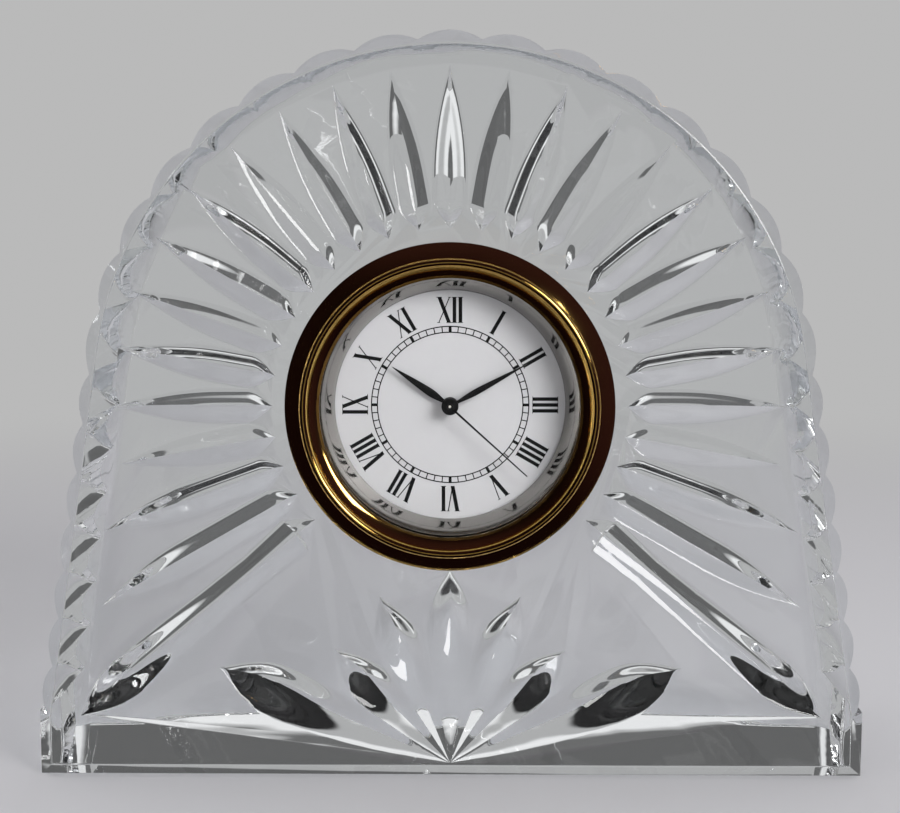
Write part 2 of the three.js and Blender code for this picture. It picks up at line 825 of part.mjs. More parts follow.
piece('main_plate', mainPlate(), creamPlastic, insert);
piece('train_bridge', trainBridge(), creamPlastic, insert);
pillars.forEach((place, i) => {
  piece(`bridge_screw_${i + 1}`, at(place, bridgeScrew()), steel, insert);
});

// Going train, from the motor to the hands

// A wheel and its pinion on one arbor that runs in the plates.
function arborWith(wheel, pinion, foot, head) {
  const shoulder = foot + bridgeThickness + fitGap;
  const neck = head - mainPlateThickness - fitGap;
  return join(
    wheel,
    pinion,
    disc(arborRadius, shoulder, neck, smallRoundSteps),
    disc(pivotRadius, foot, head, smallRoundSteps),
  );
}

function trainGear(teeth, module, turn, level) {
  const top = trainTop(level);
  return turnedGear(teeth, module, turn, top - wheelThickness, top);
}

const secondsTurn = 90 - secondsHandAngle;
const thirdTurn = meshTurn(pinionTeeth, secondsTurn, thirdWheelTeeth, thirdWheelDirection);
const centreTurn = meshTurn(
  pinionTeeth,
  thirdTurn,
  centreWheelTeeth,
  thirdWheelDirection + halfTurn,
);
const intermediateTurn = meshTurn(
  secondsWheelTeeth,
  secondsTurn,
  pinionTeeth,
  intermediateDirection,
);
const rotorTurn = meshTurn(intermediateWheelTeeth, intermediateTurn, pinionTeeth, rotorDirection);

const centreWheel = join(
  trainGear(centreWheelTeeth, centreModule, centreTurn, centreLevel),
  disc(
    cannonRadius,
    trainTop(centreLevel) - wheelThickness,
    minuteWheelBottom - arborGap,
    smallRoundSteps,
  ),
).subtract(bored(cannonBore));
piece('centre_wheel', centreWheel, brass, insert);

const thirdWheel = arborWith(
  trainGear(thirdWheelTeeth, thirdModule, thirdTurn, thirdLevel),
  trainGear(pinionTeeth, centreModule, thirdTurn, centreLevel),
  bridgeBottom,
  mainPlateTop,
);
piece('third_wheel', at(thirdPlace, thirdWheel), whiteNylon, insert);

const secondsWheel = join(
  trainGear(secondsWheelTeeth, secondsModule, secondsTurn, secondsLevel),
  trainGear(pinionTeeth, thirdModule, secondsTurn, thirdLevel),
  disc(arborRadius, bridgeTop + fitGap, trainTop(secondsLevel), smallRoundSteps),
  disc(secondsArborRadius, bridgeBottom, secondsHandBottom + handThickness, smallRoundSteps),
);
piece('seconds_wheel', secondsWheel, whiteNylon, insert);

const intermediateWheel = arborWith(
  trainGear(intermediateWheelTeeth, rotorModule, intermediateTurn, intermediateLevel),
  trainGear(pinionTeeth, secondsModule, intermediateTurn, secondsLevel),
  bridgeBottom,
  mainPlateTop,
);
piece('intermediate_wheel', at(intermediatePlace, intermediateWheel), whiteNylon, insert);

const magnetTop = trainTop(magnetLevel);
const rotor = arborWith(
  trainGear(pinionTeeth, rotorModule, rotorTurn, intermediateLevel),
  disc(magnetRadius, magnetTop - magnetHeight, magnetTop, roundSteps / 2),
  bridgeBottom,
  mainPlateTop,
);
piece('rotor', at(rotorPlace, rotor), greyMagnet, insert);

// Motor: a stator plate whose limbs lead to the ends of the coil core

const statorBottom = magnetTop - statorThickness;
const coilHeight = magnetTop - statorThickness / 2;
const coreSide = coilPlaceX - coreWidth / 2 - arborGap;
const coreEnd = coilLength / 2 + coreEndLength / 2;

function stator() {
  const limbX = coilPlaceX - coilRadius - fitGap - statorLimbWidth / 2;
  const elbows = [
    new THREE.Vector2(limbX, rotorPlace.y + statorRadius / 2),
    new THREE.Vector2(limbX, coreEnd),
    new THREE.Vector2(coreSide, coreEnd),
  ];
  let shape = at(rotorPlace, disc(statorRadius, statorBottom, magnetTop, roundSteps / 2));
  const lowerEnd = new THREE.Vector2(coreSide, -coreEnd);
  const runs = [[rotorPlace, lowerEnd], [elbows[0], elbows[1]], [elbows[1], elbows[2]]];
  for (const [from, to] of runs) {
    shape = shape.add(limb(from, to, statorLimbWidth, statorBottom, magnetTop));
  }
  const corner = box(
    limbX - statorLimbWidth / 2,
    limbX,
    coreEnd,
    coreEnd + statorLimbWidth / 2,
    statorBottom,
    magnetTop,
  );
  const coreSpace = box(coreSide, coreSide + cupRadius, -cupRadius, cupRadius, statorBottom, magnetTop);
  return shape.add(corner)
    .subtract(coreSpace)
    .subtract(at(rotorPlace, bored(magnetRadius + magnetGap)));
}

// Turned about local Y, in the middle of the coil.
function coilSolid(radius, length, steps) {
  const geometry = new THREE.CylinderGeometry(radius, radius, length, steps);
  return solid(geometry.translate(coilPlaceX, 0, coilHeight));
}

const coreHalf = coilLength / 2 + coreEndLength;
const coreLow = coilHeight - coreThickness / 2;
const coilBore = Math.hypot(coreWidth, coreThickness) / 2 + arborGap;
const coil = coilSolid(coilRadius, coilLength, roundSteps / 2)
  .subtract(coilSolid(coilBore, coilLength + 2 * cutSpare, smallRoundSteps));
piece('stator', stator(), steel, insert);
piece('coil_winding', coil, copperWire, insert);
piece('coil_core', box(
  coilPlaceX - coreWidth / 2,
  coilPlaceX + coreWidth / 2,
  -coreHalf,
  coreHalf,
  coreLow,
  coreLow + coreThickness,
), steel, insert);

// Circuit board and its parts

function circuitBoard() {
  const rim = cupInnerRadius - fitGap;
  const clear = batteryRadius + 2 * fitGap;
  const cutBottom = boardBottom - cutSpare;
  const cutTop = boardTop + cutSpare;
  return disc(rim, boardBottom, boardTop)
    .subtract(at(batteryPlace, disc(clear, cutBottom, cutTop)))
    .subtract(box(-2 * rim, batteryPlaceX, -clear, clear, cutBottom, cutTop))
    .subtract(at(settingPlace, bored(stemRadius + fitGap)));
}

function chip() {
  const top = boardBottom - fitGap;
  const half = chipSize / 2;
  return box(-half, half, -half, half, top - chipThickness, top)
    .translate([...chipPlace, 0]);
}

function quartzCan() {
  const geometry = new THREE.CylinderGeometry(
    quartzCanRadius,
    quartzCanRadius,
    quartzCanLength,
    smallRoundSteps,
  );
  const height = boardBottom - fitGap - quartzCanRadius;
  return solid(geometry.translate(...quartzCanPlace, height));
}

piece('circuit_board', circuitBoard(), greenBoard, insert);
piece('clock_chip', chip(), blackPlastic, insert);
piece('quartz_can', quartzCan(), steel, insert);

// Button cell with its contacts, behind the wheels

const contactTop = trainTop(secondsLevel) - wheelThickness - fitGap;
const batteryTop = contactTop - contactThickness - fitGap;

function battery() {
  const can = disc(batteryRadius, batteryTop - batteryHeight, batteryTop - batteryStep);
  const cap = disc(batteryRadius - batteryStep, batteryTop - batteryStep, batteryTop);
  return at(batteryPlace, join(can, cap));
}

// Flat strip over the cell's cap, bent back at its end to the circuit board.
function frontContact() {
  const left = batteryPlaceX + batteryRadius / 4;
  const right = left + contactWidth;
  const low = -contactWidth;
  const bottom = contactTop - contactThickness;
  return join(
    box(left, right, low, contactReach, bottom, contactTop),
    box(left, right, contactReach - contactThickness, contactReach, boardTop + fitGap, contactTop),
  );
}

// Small angle on the back of the board, with its blade against the side of the cell.
function sideContact() {
  const top = boardBottom - fitGap;
  const near = batteryRadius + fitGap;
  const half = contactWidth / 2;
  const angle = join(
    box(near, near + contactThickness, -half, half, batteryTop - batteryHeight, top),
    box(near, near + contactFoot, -half, half, top - contactThickness, top),
  );
  return at(batteryPlace, angle.rotate([0, 0, contactDirection]));
}

function batteryCover() {
  const half = coverSlotWidth / 2;
  const length = coverSlotLength / 2;
  const slotTop = cupBottom + coverSlotDepth;
  const slot = box(-length, length, -half, half, cupBottom - cutSpare, slotTop);
  return at(batteryPlace, disc(coverRadius, cupBottom, cupFloor).subtract(slot));
}

piece('button_cell', battery(), steel, insert);
piece('front_contact', frontContact(), brass, insert);
piece('side_contact', sideContact(), brass, insert);
piece('battery_cover', batteryCover(), blackPlastic, insert);

export default clock;
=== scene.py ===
import math

import bmesh
import bpy
from bpy.props import FloatProperty, FloatVectorProperty, IntProperty, PointerProperty
from mathutils import Matrix, Vector


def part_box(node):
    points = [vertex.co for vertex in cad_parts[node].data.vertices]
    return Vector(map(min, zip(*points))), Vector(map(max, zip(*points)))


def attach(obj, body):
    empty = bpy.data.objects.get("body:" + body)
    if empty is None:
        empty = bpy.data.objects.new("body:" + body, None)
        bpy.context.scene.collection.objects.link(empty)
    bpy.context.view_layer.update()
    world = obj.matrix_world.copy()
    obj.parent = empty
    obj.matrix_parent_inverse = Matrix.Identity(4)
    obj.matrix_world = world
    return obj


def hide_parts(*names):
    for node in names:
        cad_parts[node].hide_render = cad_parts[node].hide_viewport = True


bl_info = {
    "name": "Cut Crystal Desk Clock",
    "version": (1, 0, 0),
    "blender": (4, 5, 0),
    "location": "3D View > Sidebar > Crystal Clock",
    "description": "Builds a cut crystal desk clock with a round push-in quartz movement",
    "category": "Add Mesh",
}

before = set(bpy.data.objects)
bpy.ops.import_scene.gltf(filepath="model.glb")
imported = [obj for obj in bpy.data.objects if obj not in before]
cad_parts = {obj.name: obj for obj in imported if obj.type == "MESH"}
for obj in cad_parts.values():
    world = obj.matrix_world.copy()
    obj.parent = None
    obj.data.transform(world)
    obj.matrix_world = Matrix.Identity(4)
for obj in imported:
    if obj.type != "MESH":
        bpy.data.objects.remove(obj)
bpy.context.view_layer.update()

MM = 0.001

# Upright drawings: x to the right, y up from the table, z to the front.
UPRIGHT = Matrix(((1, 0, 0, 0), (0, 0, -1, 0), (0, 1, 0, 0), (0, 0, 0, 1)))


# Properties

def length(name, millimetres, description):
    return FloatProperty(
        name=name, default=millimetres * MM, unit="LENGTH", precision=5, description=description
    )


def angle(name, degrees, description):
    return FloatProperty(
        name=name, default=math.radians(degrees), subtype="ANGLE", description=description
    )


def count(name, number, description):
    return IntProperty(name=name, default=number, min=1, description=description)


def linear(hex_colour):
    """Turns an sRGB hex colour into Blender's linear numbers."""
    values = []
    for i in (1, 3, 5):
        share = int(hex_colour[i:i + 2], 16) / 255
        values.append(share / 12.92 if share <= 0.04045 else ((share + 0.055) / 1.055) ** 2.4)
    return tuple(values)


def colour(name, hex_colour, description):
    return FloatVectorProperty(
        name=name, default=linear(hex_colour), subtype="COLOR", min=0, max=1, description=description
    )


class CrystalSizes(bpy.types.PropertyGroup):
    width: length("Width", 114, "Width of the foot of the block")
    depth: length("Depth", 40, "Depth of the block, front to back")
    foot_height: length("Foot height", 9, "Height of the upright sides at the foot")
    dial_height: length("Dial height", 51.8, "Height of the dome's and the dial's centre")
    dome_radius: length("Dome radius", 50, "Radius of the domed top")
    chamfer: length("Chamfer", 1.8, "Width of the polished edge round the front and back")
    border: length("Border", 0.22, "Rounding where the faces meet the polished edge")
    bore_radius: length("Bore radius", 20, "Radius of the bore that holds the clock")
    scallop_depth: length("Scallop depth", 1.2, "Depth of the notches between the rim's scallops")
    scallop_pitch: angle("Scallop pitch", 10, "Turn from one scallop of the dome to the next")
    scallops_beside_top: count("Scallops beside the top", 8, "Scallops on each side of the top one")
    side_pitch: length("Side scallop pitch", 6.9, "Length of the scallops on the straight flanks")
    ray_pitch: angle("Ray pitch", 10, "Turn from one ray cut to the next")
    rays_beside_top: count("Rays beside the top", 12, "Ray cuts on each side of the top one")
    ray_inner_radius: length("Ray start", 23.9, "Distance from the dial centre to the rays")
    ray_outer_radius: length("Ray end", 45.4, "Distance from the dial centre to the rays' tips")
    ray_depth: length("Ray depth", 2.4, "Depth of the ray cuts, as wide as half a ray")
    ray_wheel: length("Ray wheel", 45, "Radius of the wheel at the rays' tips")
    root_wheel: length("Root wheel", 4, "Radius of the small wheel at the rays' blunt inner ends")
    long_ray_start: angle("Long ray start", 100, "Turn from the top where the rays start to lengthen")
    long_ray_growth: length("Long ray growth", 0.48, "Extra length for each degree past that turn")
    corner_angle: angle("Corner cut angle", 130.2, "Turn from the top to the corner cuts")
    corner_length: length("Corner cut length", 42.8, "Length of the two cuts to the foot corners")
    corner_depth: length("Corner cut depth", 3.1, "Depth of the corner cuts at their outer end")
    corner_wheel: length("Corner cut wheel", 15, "Radius of the wheel at their outer end")
    fan_height: length("Fan height", 2.2, "Height of the point where the fan's cuts meet")
    fan_pitch: angle("Fan pitch", 22.3, "Turn from one cut of the fan to the next")
    fan_wheel: length("Fan wheel", 11, "Radius of the wheel at the tips of the fan's cuts")
    arris: length("Arris", 0.5, "Width of the polished rounding along the cuts' edges")
    slim_ray_share: FloatProperty(
        name="Slim ray share", default=0.85, description="Depth of the ray midway between main rays"
    )
    plain_ray_share: FloatProperty(
        name="Plain ray share", default=0.62, description="Depth of the plainest rays"
    )
    main_ray_softness: FloatProperty(
        name="Main ray softness", default=1.0, description="How far acid polish rounds a main ray"
    )
    fan_root_share: FloatProperty(
        name="Fan root share", default=0.2, description="Depth left where the fan's cuts meet"
    )
    corner_root_share: FloatProperty(
        name="Corner root share", default=0.45, description="Depth left at the inner end there"
    )
    fan_softness: FloatProperty(
        name="Fan softness", default=0.7, description="The same for the fan's cuts"
    )
    slim_ray_softness: FloatProperty(
        name="Slim ray softness", default=0.3, description="The same for the rays between them"
    )


class InsertSizes(bpy.types.PropertyGroup):
    bezel_radius: length("Bezel radius", 22.1, "Outer radius of the bezel")
    bezel_height: length("Bezel height", 4.4, "Height of the bead above the glass block")
    bead_radius: length("Bead radius", 19.5, "Radius of the bead's crest")
    groove_radius: length("Groove radius", 20.1, "Radius of the groove outside the bead")
    groove_height: length("Groove height", 3.5, "Height of that groove")
    rim_height: length("Rim height", 2.0, "Height of the bezel's outer edge")
    opening_radius: length("Opening radius", 17.4, "Radius of the bezel's opening")
    lip_height: length("Lip height", 3.4, "Height of the bezel's inner lip")
    seat: length("Seat gap", 0.3, "Gap between pieces that rest on each other")
    ring_top_radius: length("Ring top radius", 17.3, "Reflector ring's radius under the lens")
    ring_bottom_radius: length("Ring bottom radius", 15.6, "Reflector ring's radius at the dial")
    cup_radius: length("Cup radius", 18.6, "Outer radius of the plastic cup")
    cup_wall: length("Cup wall", 0.8, "Wall of the plastic cup")
    numeral_foot: length("Numeral foot", 11.15, "Radius at the feet of the numerals")
    numeral_height: length("Numeral height", 3.5, "Height of the numerals")
    track_inner: length("Track inner radius", 9.8, "Inner radius of the minute track")
    track_outer: length("Track outer radius", 10.6, "Outer radius of the minute track")
    ink: length("Ink thickness", 0.02, "Height of the printed ink on the dial")
    hour_length: length("Hour hand length", 9.4, "From the centre to the hour hand's tip")
    hour_width: length("Hour hand width", 1.1, "Width of the hour hand's belly")
    minute_length: length("Minute hand length", 11.8, "From the centre to the minute hand's tip")
    minute_width: length("Minute hand width", 0.85, "Width of the minute hand's belly")
    seconds_length: length("Seconds hand length", 14.1, "From the centre to the seconds hand's tip")
    seconds_width: length("Seconds hand width", 0.3, "Width of the seconds hand at its hub")
    hub_radius: length("Hub radius", 1.15, "Radius of the hands' hubs")
    hour_angle: angle("Hour hand angle", -56.2, "Clockwise from 12")
    minute_angle: angle("Minute hand angle", 61.2, "Clockwise from 12")
    seconds_angle: angle("Seconds hand angle", 132.3, "Clockwise from 12")
    knob_radius: length("Knob radius", 3.2, "Radius of the hand setting knob")
    knob_ribs: count("Knob ribs", 16, "Ribs round the setting knob")
    knob_rib_depth: length("Knob rib depth", 0.25, "Depth between the knob's ribs")


class ClockColours(bpy.types.PropertyGroup):
    glass: colour("Glass", "#f0f2f3", "Tint of the crystal")
    gold: colour("Gold", "#d9b061", "Gold plating of the bezel")
    silver: colour("Silver", "#a19e9a", "Reflector ring")
    dial: colour("Dial", "#c0c0c2", "Silver white lacquer of the dial")
    ink: colour("Ink", "#060607", "Printing on the dial")
    hands: colour("Hands", "#060607", "Enamel of the hands")
    black_plastic: colour("Black plastic", "#1c1c1e", "Cup, knob and battery cover")
    rubber: colour("Rubber", "#cfcdc6", "Ring that grips the bore")
    floor: colour("Floor", "#e4e3e7", "Table top and backdrop")


class StudioSizes(bpy.types.PropertyGroup):
    camera_side: length("Camera side", 2.5, "How far the camera stands right of the clock's middle")
    camera_distance: length("Camera distance", 232.6, "From the camera to the glass's front face")
    camera_height: length("Camera height", 80, "Height of the camera above the table")
    lens: FloatProperty(name="Lens", default=69.6, description="Focal length in millimetres")
    floor_reach: length("Floor reach", 6000, "How far the floor runs each way")
    floor_gap: length("Floor gap", 0.03, "Film of air under the polished foot")
    pale: FloatProperty(name="Pale wall", default=0.49, description="Brightness of the pale wall")
    key_power: FloatProperty(name="Key power", default=4.2, description="Power of the side softbox")
    top_power: FloatProperty(name="Top power", default=3.6, description="Power of the top softbox")


# Materials

def add_node(tree, kind, inputs=None, **settings):
    """Adds a node. Inputs that are sockets are linked, and the others are set."""
    node = tree.nodes.new(kind)
    for name, value in settings.items():
        setattr(node, name, value)
    for key, value in (inputs or {}).items():
        socket = node.inputs[key]
        if isinstance(value, bpy.types.NodeSocket):
            tree.links.new(value, socket)
        else:
            socket.default_value = value
    return node


def new_material(name, base, **values):
    """Makes a material with one Principled shader, and returns the material, tree and shader."""
    material = bpy.data.materials.new(name)
    material.use_nodes = True
    tree = material.node_tree
    shader = tree.nodes["Principled BSDF"]
    shader.inputs["Base Color"].default_value = (*base, 1)
    for key, value in values.items():
        shader.inputs[key.replace("_", " ").title().replace("Ior", "IOR")].default_value = value
    return material, tree, shader


def object_noise(tree, grain, detail=3.0):
    """Noise with spots about the size of the grain, in metres, fixed to the object."""
    place = add_node(tree, "ShaderNodeTexCoord")
    return add_node(
        tree,
        "ShaderNodeTexNoise",
        {"Vector": place.outputs["Object"], "Scale": 1 / grain, "Detail": detail},
    )


def ranged(tree, value, low, high):
    """Maps a value from 0..1 to low..high."""
    node = add_node(tree, "ShaderNodeMapRange", {"Value": value, "To Min": low, "To Max": high})
    return node.outputs["Result"]


def rough_and_bumpy(tree, shader, grain, roughness, bump):
    """Uneven roughness, from low to high, and a bump of the given height in metres."""
    noise = object_noise(tree, grain)
    tree.links.new(ranged(tree, noise.outputs["Fac"], *roughness), shader.inputs["Roughness"])
    bumped = add_node(
        tree,
        "ShaderNodeBump",
        {"Height": noise.outputs["Fac"], "Distance": bump, "Strength": 1.0},
    )
    tree.links.new(bumped.outputs["Normal"], shader.inputs["Normal"])


def shadow_through(tree, shader, tint):
    """Lets the lamps' light through a glass shader as a tinted shadow."""
    output = tree.nodes["Material Output"]
    path = add_node(tree, "ShaderNodeLightPath")
    clear = add_node(tree, "ShaderNodeBsdfTransparent", {"Color": (*tint, 1)})
    mixed = add_node(
        tree,
        "ShaderNodeMixShader",
        {0: path.outputs["Is Shadow Ray"], 1: shader.outputs["BSDF"], 2: clear.outputs["BSDF"]},
    )
    tree.links.new(mixed.outputs["Shader"], output.inputs["Surface"])


def polished_crystal(colours):
    # Cut and polished optical crystal: colourless, with sharp mirror-like inner reflections, and
    # the slight waves that acid polish leaves.
    material, tree, shader = new_material(
        "polished_crystal", colours.glass, transmission_weight=1.0, roughness=0.0, ior=1.54
    )
    noise = object_noise(tree, 9 * MM, detail=1.0)
    waves = add_node(
        tree,
        "ShaderNodeBump",
        {"Height": noise.outputs["Fac"], "Distance": 0.025 * MM, "Strength": 1.0},
    )
    tree.links.new(waves.outputs["Normal"], shader.inputs["Normal"])
    shadow_through(tree, shader, (0.55, 0.56, 0.57))
    return material


def mineral_glass(colours):
    # Flat mineral glass with a coating: very clear, with only a trace of the room in it.
    material, tree, shader = new_material(
        "mineral_glass",
        (0.98, 0.98, 0.98),
        transmission_weight=1.0,
        roughness=0.0,
        ior=1.12,
    )
    shadow_through(tree, shader, (0.95, 0.95, 0.95))
    return material


def polished_gold_plate(colours):
    # Polished gold plating: a dark mirror of the room with warm bright lines at its bends.
    material, tree, shader = new_material("polished_gold_plate", colours.gold, metallic=1.0)
    rough_and_bumpy(tree, shader, 2.5 * MM, (0.05, 0.11), 0.001 * MM)
    return material


def bright_reflector(colours):
    # Bright lacquered reflector ring: a soft silver mirror of the dial's edge.
    material, tree, shader = new_material("bright_reflector", colours.silver, metallic=1.0)
    rough_and_bumpy(tree, shader, 1.5 * MM, (0.08, 0.14), 0.001 * MM)
    return material


def dial_lacquer(colours):
    # Silver white dial lacquer: satin, with a very fine grain.
    material, tree, shader = new_material("dial_lacquer", colours.dial, metallic=0.15)
    rough_and_bumpy(tree, shader, 0.12 * MM, (0.42, 0.55), 0.001 * MM)
    return material


def printed_ink(colours):
    # Pad-printed ink: dull black with slightly uneven gloss.
    material, tree, shader = new_material("printed_ink", colours.ink, specular_ior_level=0.15)
    rough_and_bumpy(tree, shader, 0.2 * MM, (0.5, 0.65), 0.001 * MM)
    return material


def hand_enamel(colours):
    # Black enamel on stamped brass hands: satin, lit softly along the edges.
    material, tree, shader = new_material("hand_enamel", colours.hands, specular_ior_level=0.2)
    rough_and_bumpy(tree, shader, 0.3 * MM, (0.3, 0.42), 0.001 * MM)
    return material


def moulded_abs(colours):
    # Moulded ABS with a fine spark-eroded grain: dull black with a soft sheen.
    material, tree, shader = new_material("moulded_abs", colours.black_plastic)
    rough_and_bumpy(tree, shader, 0.25 * MM, (0.4, 0.55), 0.006 * MM)
    return material


def silicone_rubber(colours):
    # Clear-white silicone rubber: soft, milky, with dull ribs.
    material, tree, shader = new_material(
        "silicone_rubber", colours.rubber, subsurface_weight=0.2
    )
    rough_and_bumpy(tree, shader, 0.5 * MM, (0.45, 0.6), 0.004 * MM)
    return material


def turned_metal(name, hex_colour, roughness):
    """Metal with uneven roughness and a fine bump, in spots fixed to the piece."""
    material, tree, shader = new_material(name, linear(hex_colour), metallic=1.0)
    rough_and_bumpy(tree, shader, 0.6 * MM, roughness, 0.002 * MM)
    return material


def moulded_plastic(name, hex_colour, roughness):
    """Moulded plastic with a slightly uneven skin."""
    material, tree, shader = new_material(name, linear(hex_colour))
    rough_and_bumpy(tree, shader, 0.4 * MM, roughness, 0.003 * MM)
    return material


# Mesh helpers

def outline_face(bm, points, height=0.0):
    """One face from an outline drawn in the plane of x and y."""
    return bm.faces.new([bm.verts.new((x, y, height)) for x, y in points])


def plate(points, bottom, top):
    """An outline drawn out from bottom to top."""
    bm = bmesh.new()
    face = outline_face(bm, points, bottom)
    extruded = bmesh.ops.extrude_face_region(bm, geom=[face], use_keep_orig=True)
    moved = [v for v in extruded["geom"] if isinstance(v, bmesh.types.BMVert)]
    bmesh.ops.translate(bm, vec=(0, 0, top - bottom), verts=moved)
    bmesh.ops.recalc_face_normals(bm, faces=bm.faces)
    return bm


def spun(outline, steps=160):
    """Turns an outline of (radius, height) points about the z axis."""
    bm = bmesh.new()
    verts = [bm.verts.new((radius, 0, height)) for radius, height in outline]
    open_end = outline[0][0] == 0 and outline[-1][0] == 0
    follow = verts[1:] if open_end else verts[1:] + verts[:1]
    edges = [bm.edges.new(pair) for pair in zip(verts, follow)]
    bmesh.ops.spin(
        bm,
        geom=verts + edges,
        cent=(0, 0, 0),
        axis=(0, 0, 1),
        angle=2 * math.pi,
        steps=steps,
        use_merge=True,
    )
    bmesh.ops.remove_doubles(bm, verts=bm.verts, dist=1e-7)
    bmesh.ops.recalc_face_normals(bm, faces=bm.faces)
    return bm


def arc(centre, radii, start, end, steps):
    """Points on an arc or quarter of an ellipse, without its first point."""
    points = []
    for i in range(1, steps + 1):
        turn = math.radians(start + (end - start) * i / steps)
        points.append((centre[0] + radii[0] * math.cos(turn), centre[1] + radii[1] * math.sin(turn)))
    return points


def put_in(bm, other):
    """Adds another bmesh to this one and frees it."""
    mesh = bpy.data.meshes.new("part")
    other.to_mesh(mesh)
    other.free()
    bm.from_mesh(mesh)
    bpy.data.meshes.remove(mesh)


def turned(bm, clockwise):
    """Turns a drawing clockwise about the dial centre."""
    bmesh.ops.rotate(bm, verts=bm.verts, cent=(0, 0, 0), matrix=Matrix.Rotation(-clockwise, 3, "Z"))
    return bm


def new_object(bm, name):
    mesh = bpy.data.meshes.new(name)
    bm.to_mesh(mesh)
    bm.free()
    piece = bpy.data.objects.new(name, mesh)
    bpy.context.scene.collection.objects.link(piece)
    return piece


def carved(bm, tool, operation="DIFFERENCE"):
    """The exact boolean of two closed meshes, as a new bmesh."""
    piece = new_object(bm, "carved")
    cutter = new_object(tool, "cutter")
    modifier = piece.modifiers.new("cut", "BOOLEAN")
    modifier.operation = operation
    modifier.solver = "EXACT"
    modifier.use_self = True
    modifier.object = cutter
    seen = piece.evaluated_get(bpy.context.evaluated_depsgraph_get())
    result = bmesh.new()
    result.from_mesh(seen.to_mesh())
    seen.to_mesh_clear()
    for spare in (piece, cutter):
        mesh = spare.data
        bpy.data.objects.remove(spare)
        bpy.data.meshes.remove(mesh)
    return result


def finished(bm, name, body, material, place, replaces=None, crease=30):
    """Puts a mesh in its place as a piece of the clock."""
    bmesh.ops.transform(bm, matrix=place, verts=bm.verts)
    piece = new_object(bm, name)
    piece.data.shade_smooth()
    piece.data.set_sharp_from_angle(angle=math.radians(crease))
    piece.data.materials.append(material)
    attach(piece, body)
    if replaces:
        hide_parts(replaces)
    return piece


def insert_place():
    """The place of the clock insert: z is 0 on the front of the glass, at the dial centre."""
    sizes = bpy.context.scene.crystal_sizes
    return Matrix.Translation((0, -sizes.depth / 2, sizes.dial_height)) @ UPRIGHT


# Crystal block

def flank(sizes):
    """The turn where the dome's arc ends, and the length of the straight flank below it."""
    corner = Vector((sizes.width / 2, sizes.foot_height - sizes.dial_height))
    tangent_turn = math.acos(sizes.dome_radius / corner.length)
    turn = math.atan2(corner.x, corner.y) - tangent_turn
    return turn, math.sqrt(corner.length_squared - sizes.dome_radius ** 2)


def dome_point(sizes, along, inset):
    """The point a length along the rim from the top, moved inwards by the inset."""
    turn_end = flank(sizes)[0]
    turn = min(along / sizes.dome_radius, turn_end)
    down = max(along - turn_end * sizes.dome_radius, 0)
    radius = sizes.dome_radius - inset
    x = radius * math.sin(turn) + down * math.cos(turn)
    return x, sizes.dial_height + radius * math.cos(turn) - down * math.sin(turn)


def whole_outline(sizes, right_side):
    """Adds the foot to the right side's points, and mirrors them to the left."""
    right = right_side + [(sizes.width / 2, sizes.foot_height), (sizes.width / 2, 0)]
    left = [(-x, y) for x, y in reversed(right) if x > 0]
    return right + left


def smooth_outline(sizes, steps=60):
    turn_end, flank_length = flank(sizes)
    arch = turn_end * sizes.dome_radius
    return whole_outline(sizes, [dome_point(sizes, arch * i / steps, 0) for i in range(steps + 1)])


def scalloped_outline(sizes, steps=12):
    """Round scallops along the dome and flanks, with sharp notches between them."""
    turn_end, flank_length = flank(sizes)
    pitch = sizes.dome_radius * sizes.scallop_pitch
    notches = [pitch * (i + 0.5) for i in range(-1, sizes.scallops_beside_top + 1)]
    rest = turn_end * sizes.dome_radius + flank_length - notches[-1]
    extra = round(rest / sizes.side_pitch)
    notches += [notches[-1] + rest * (i + 1) / extra for i in range(extra)]
    points = []
    for start, end in zip(notches, notches[1:]):
        for i in range(steps):
            along = start + (end - start) * i / steps
            share = 2 * i / steps - 1
            if along > -1e-9:
                points.append(dome_point(sizes, max(along, 0), sizes.scallop_depth * share ** 2))
    points.append(dome_point(sizes, notches[-1], sizes.scallop_depth))
    return whole_outline(sizes, points)


def block(sizes):
    """The scalloped block, with the polished chamfer round its two faces."""
    half = sizes.depth / 2
    smooth = plate(smooth_outline(sizes), -half, half)
    # The lower back edge is only eased, so the bottom mirrors the whole back.
    rims = [
        e for e in smooth.edges
        if abs(e.verts[0].co.z - e.verts[1].co.z) < 1e-6
        and not (e.verts[0].co.z < 0 and max(v.co.y for v in e.verts) < 1e-6)
    ]
    bmesh.ops.bevel(
        smooth,
        geom=rims,
        offset=sizes.chamfer,
        offset_type="OFFSET",
        affect="EDGES",
        segments=1,
        profile=0.5,
        material=-1,
    )
    borders = [
        e for e in smooth.edges
        if all(abs(abs(v.co.z) - half) < 1e-6 for v in e.verts) and len(e.link_faces) == 2
    ]
    bmesh.ops.bevel(
        smooth,
        geom=borders,
        offset=sizes.border,
        offset_type="OFFSET",
        affect="EDGES",
        segments=3,
        profile=0.5,
        material=-1,
    )
    rough = plate(scalloped_outline(sizes), -half - sizes.chamfer, half + sizes.chamfer)
    return carved(smooth, rough, "INTERSECT")


def wheel_reach(wheel, depth):
    """Length of the run-out that a wheel leaves at the end of a cut."""
    return math.sqrt(2 * wheel * depth - depth ** 2)


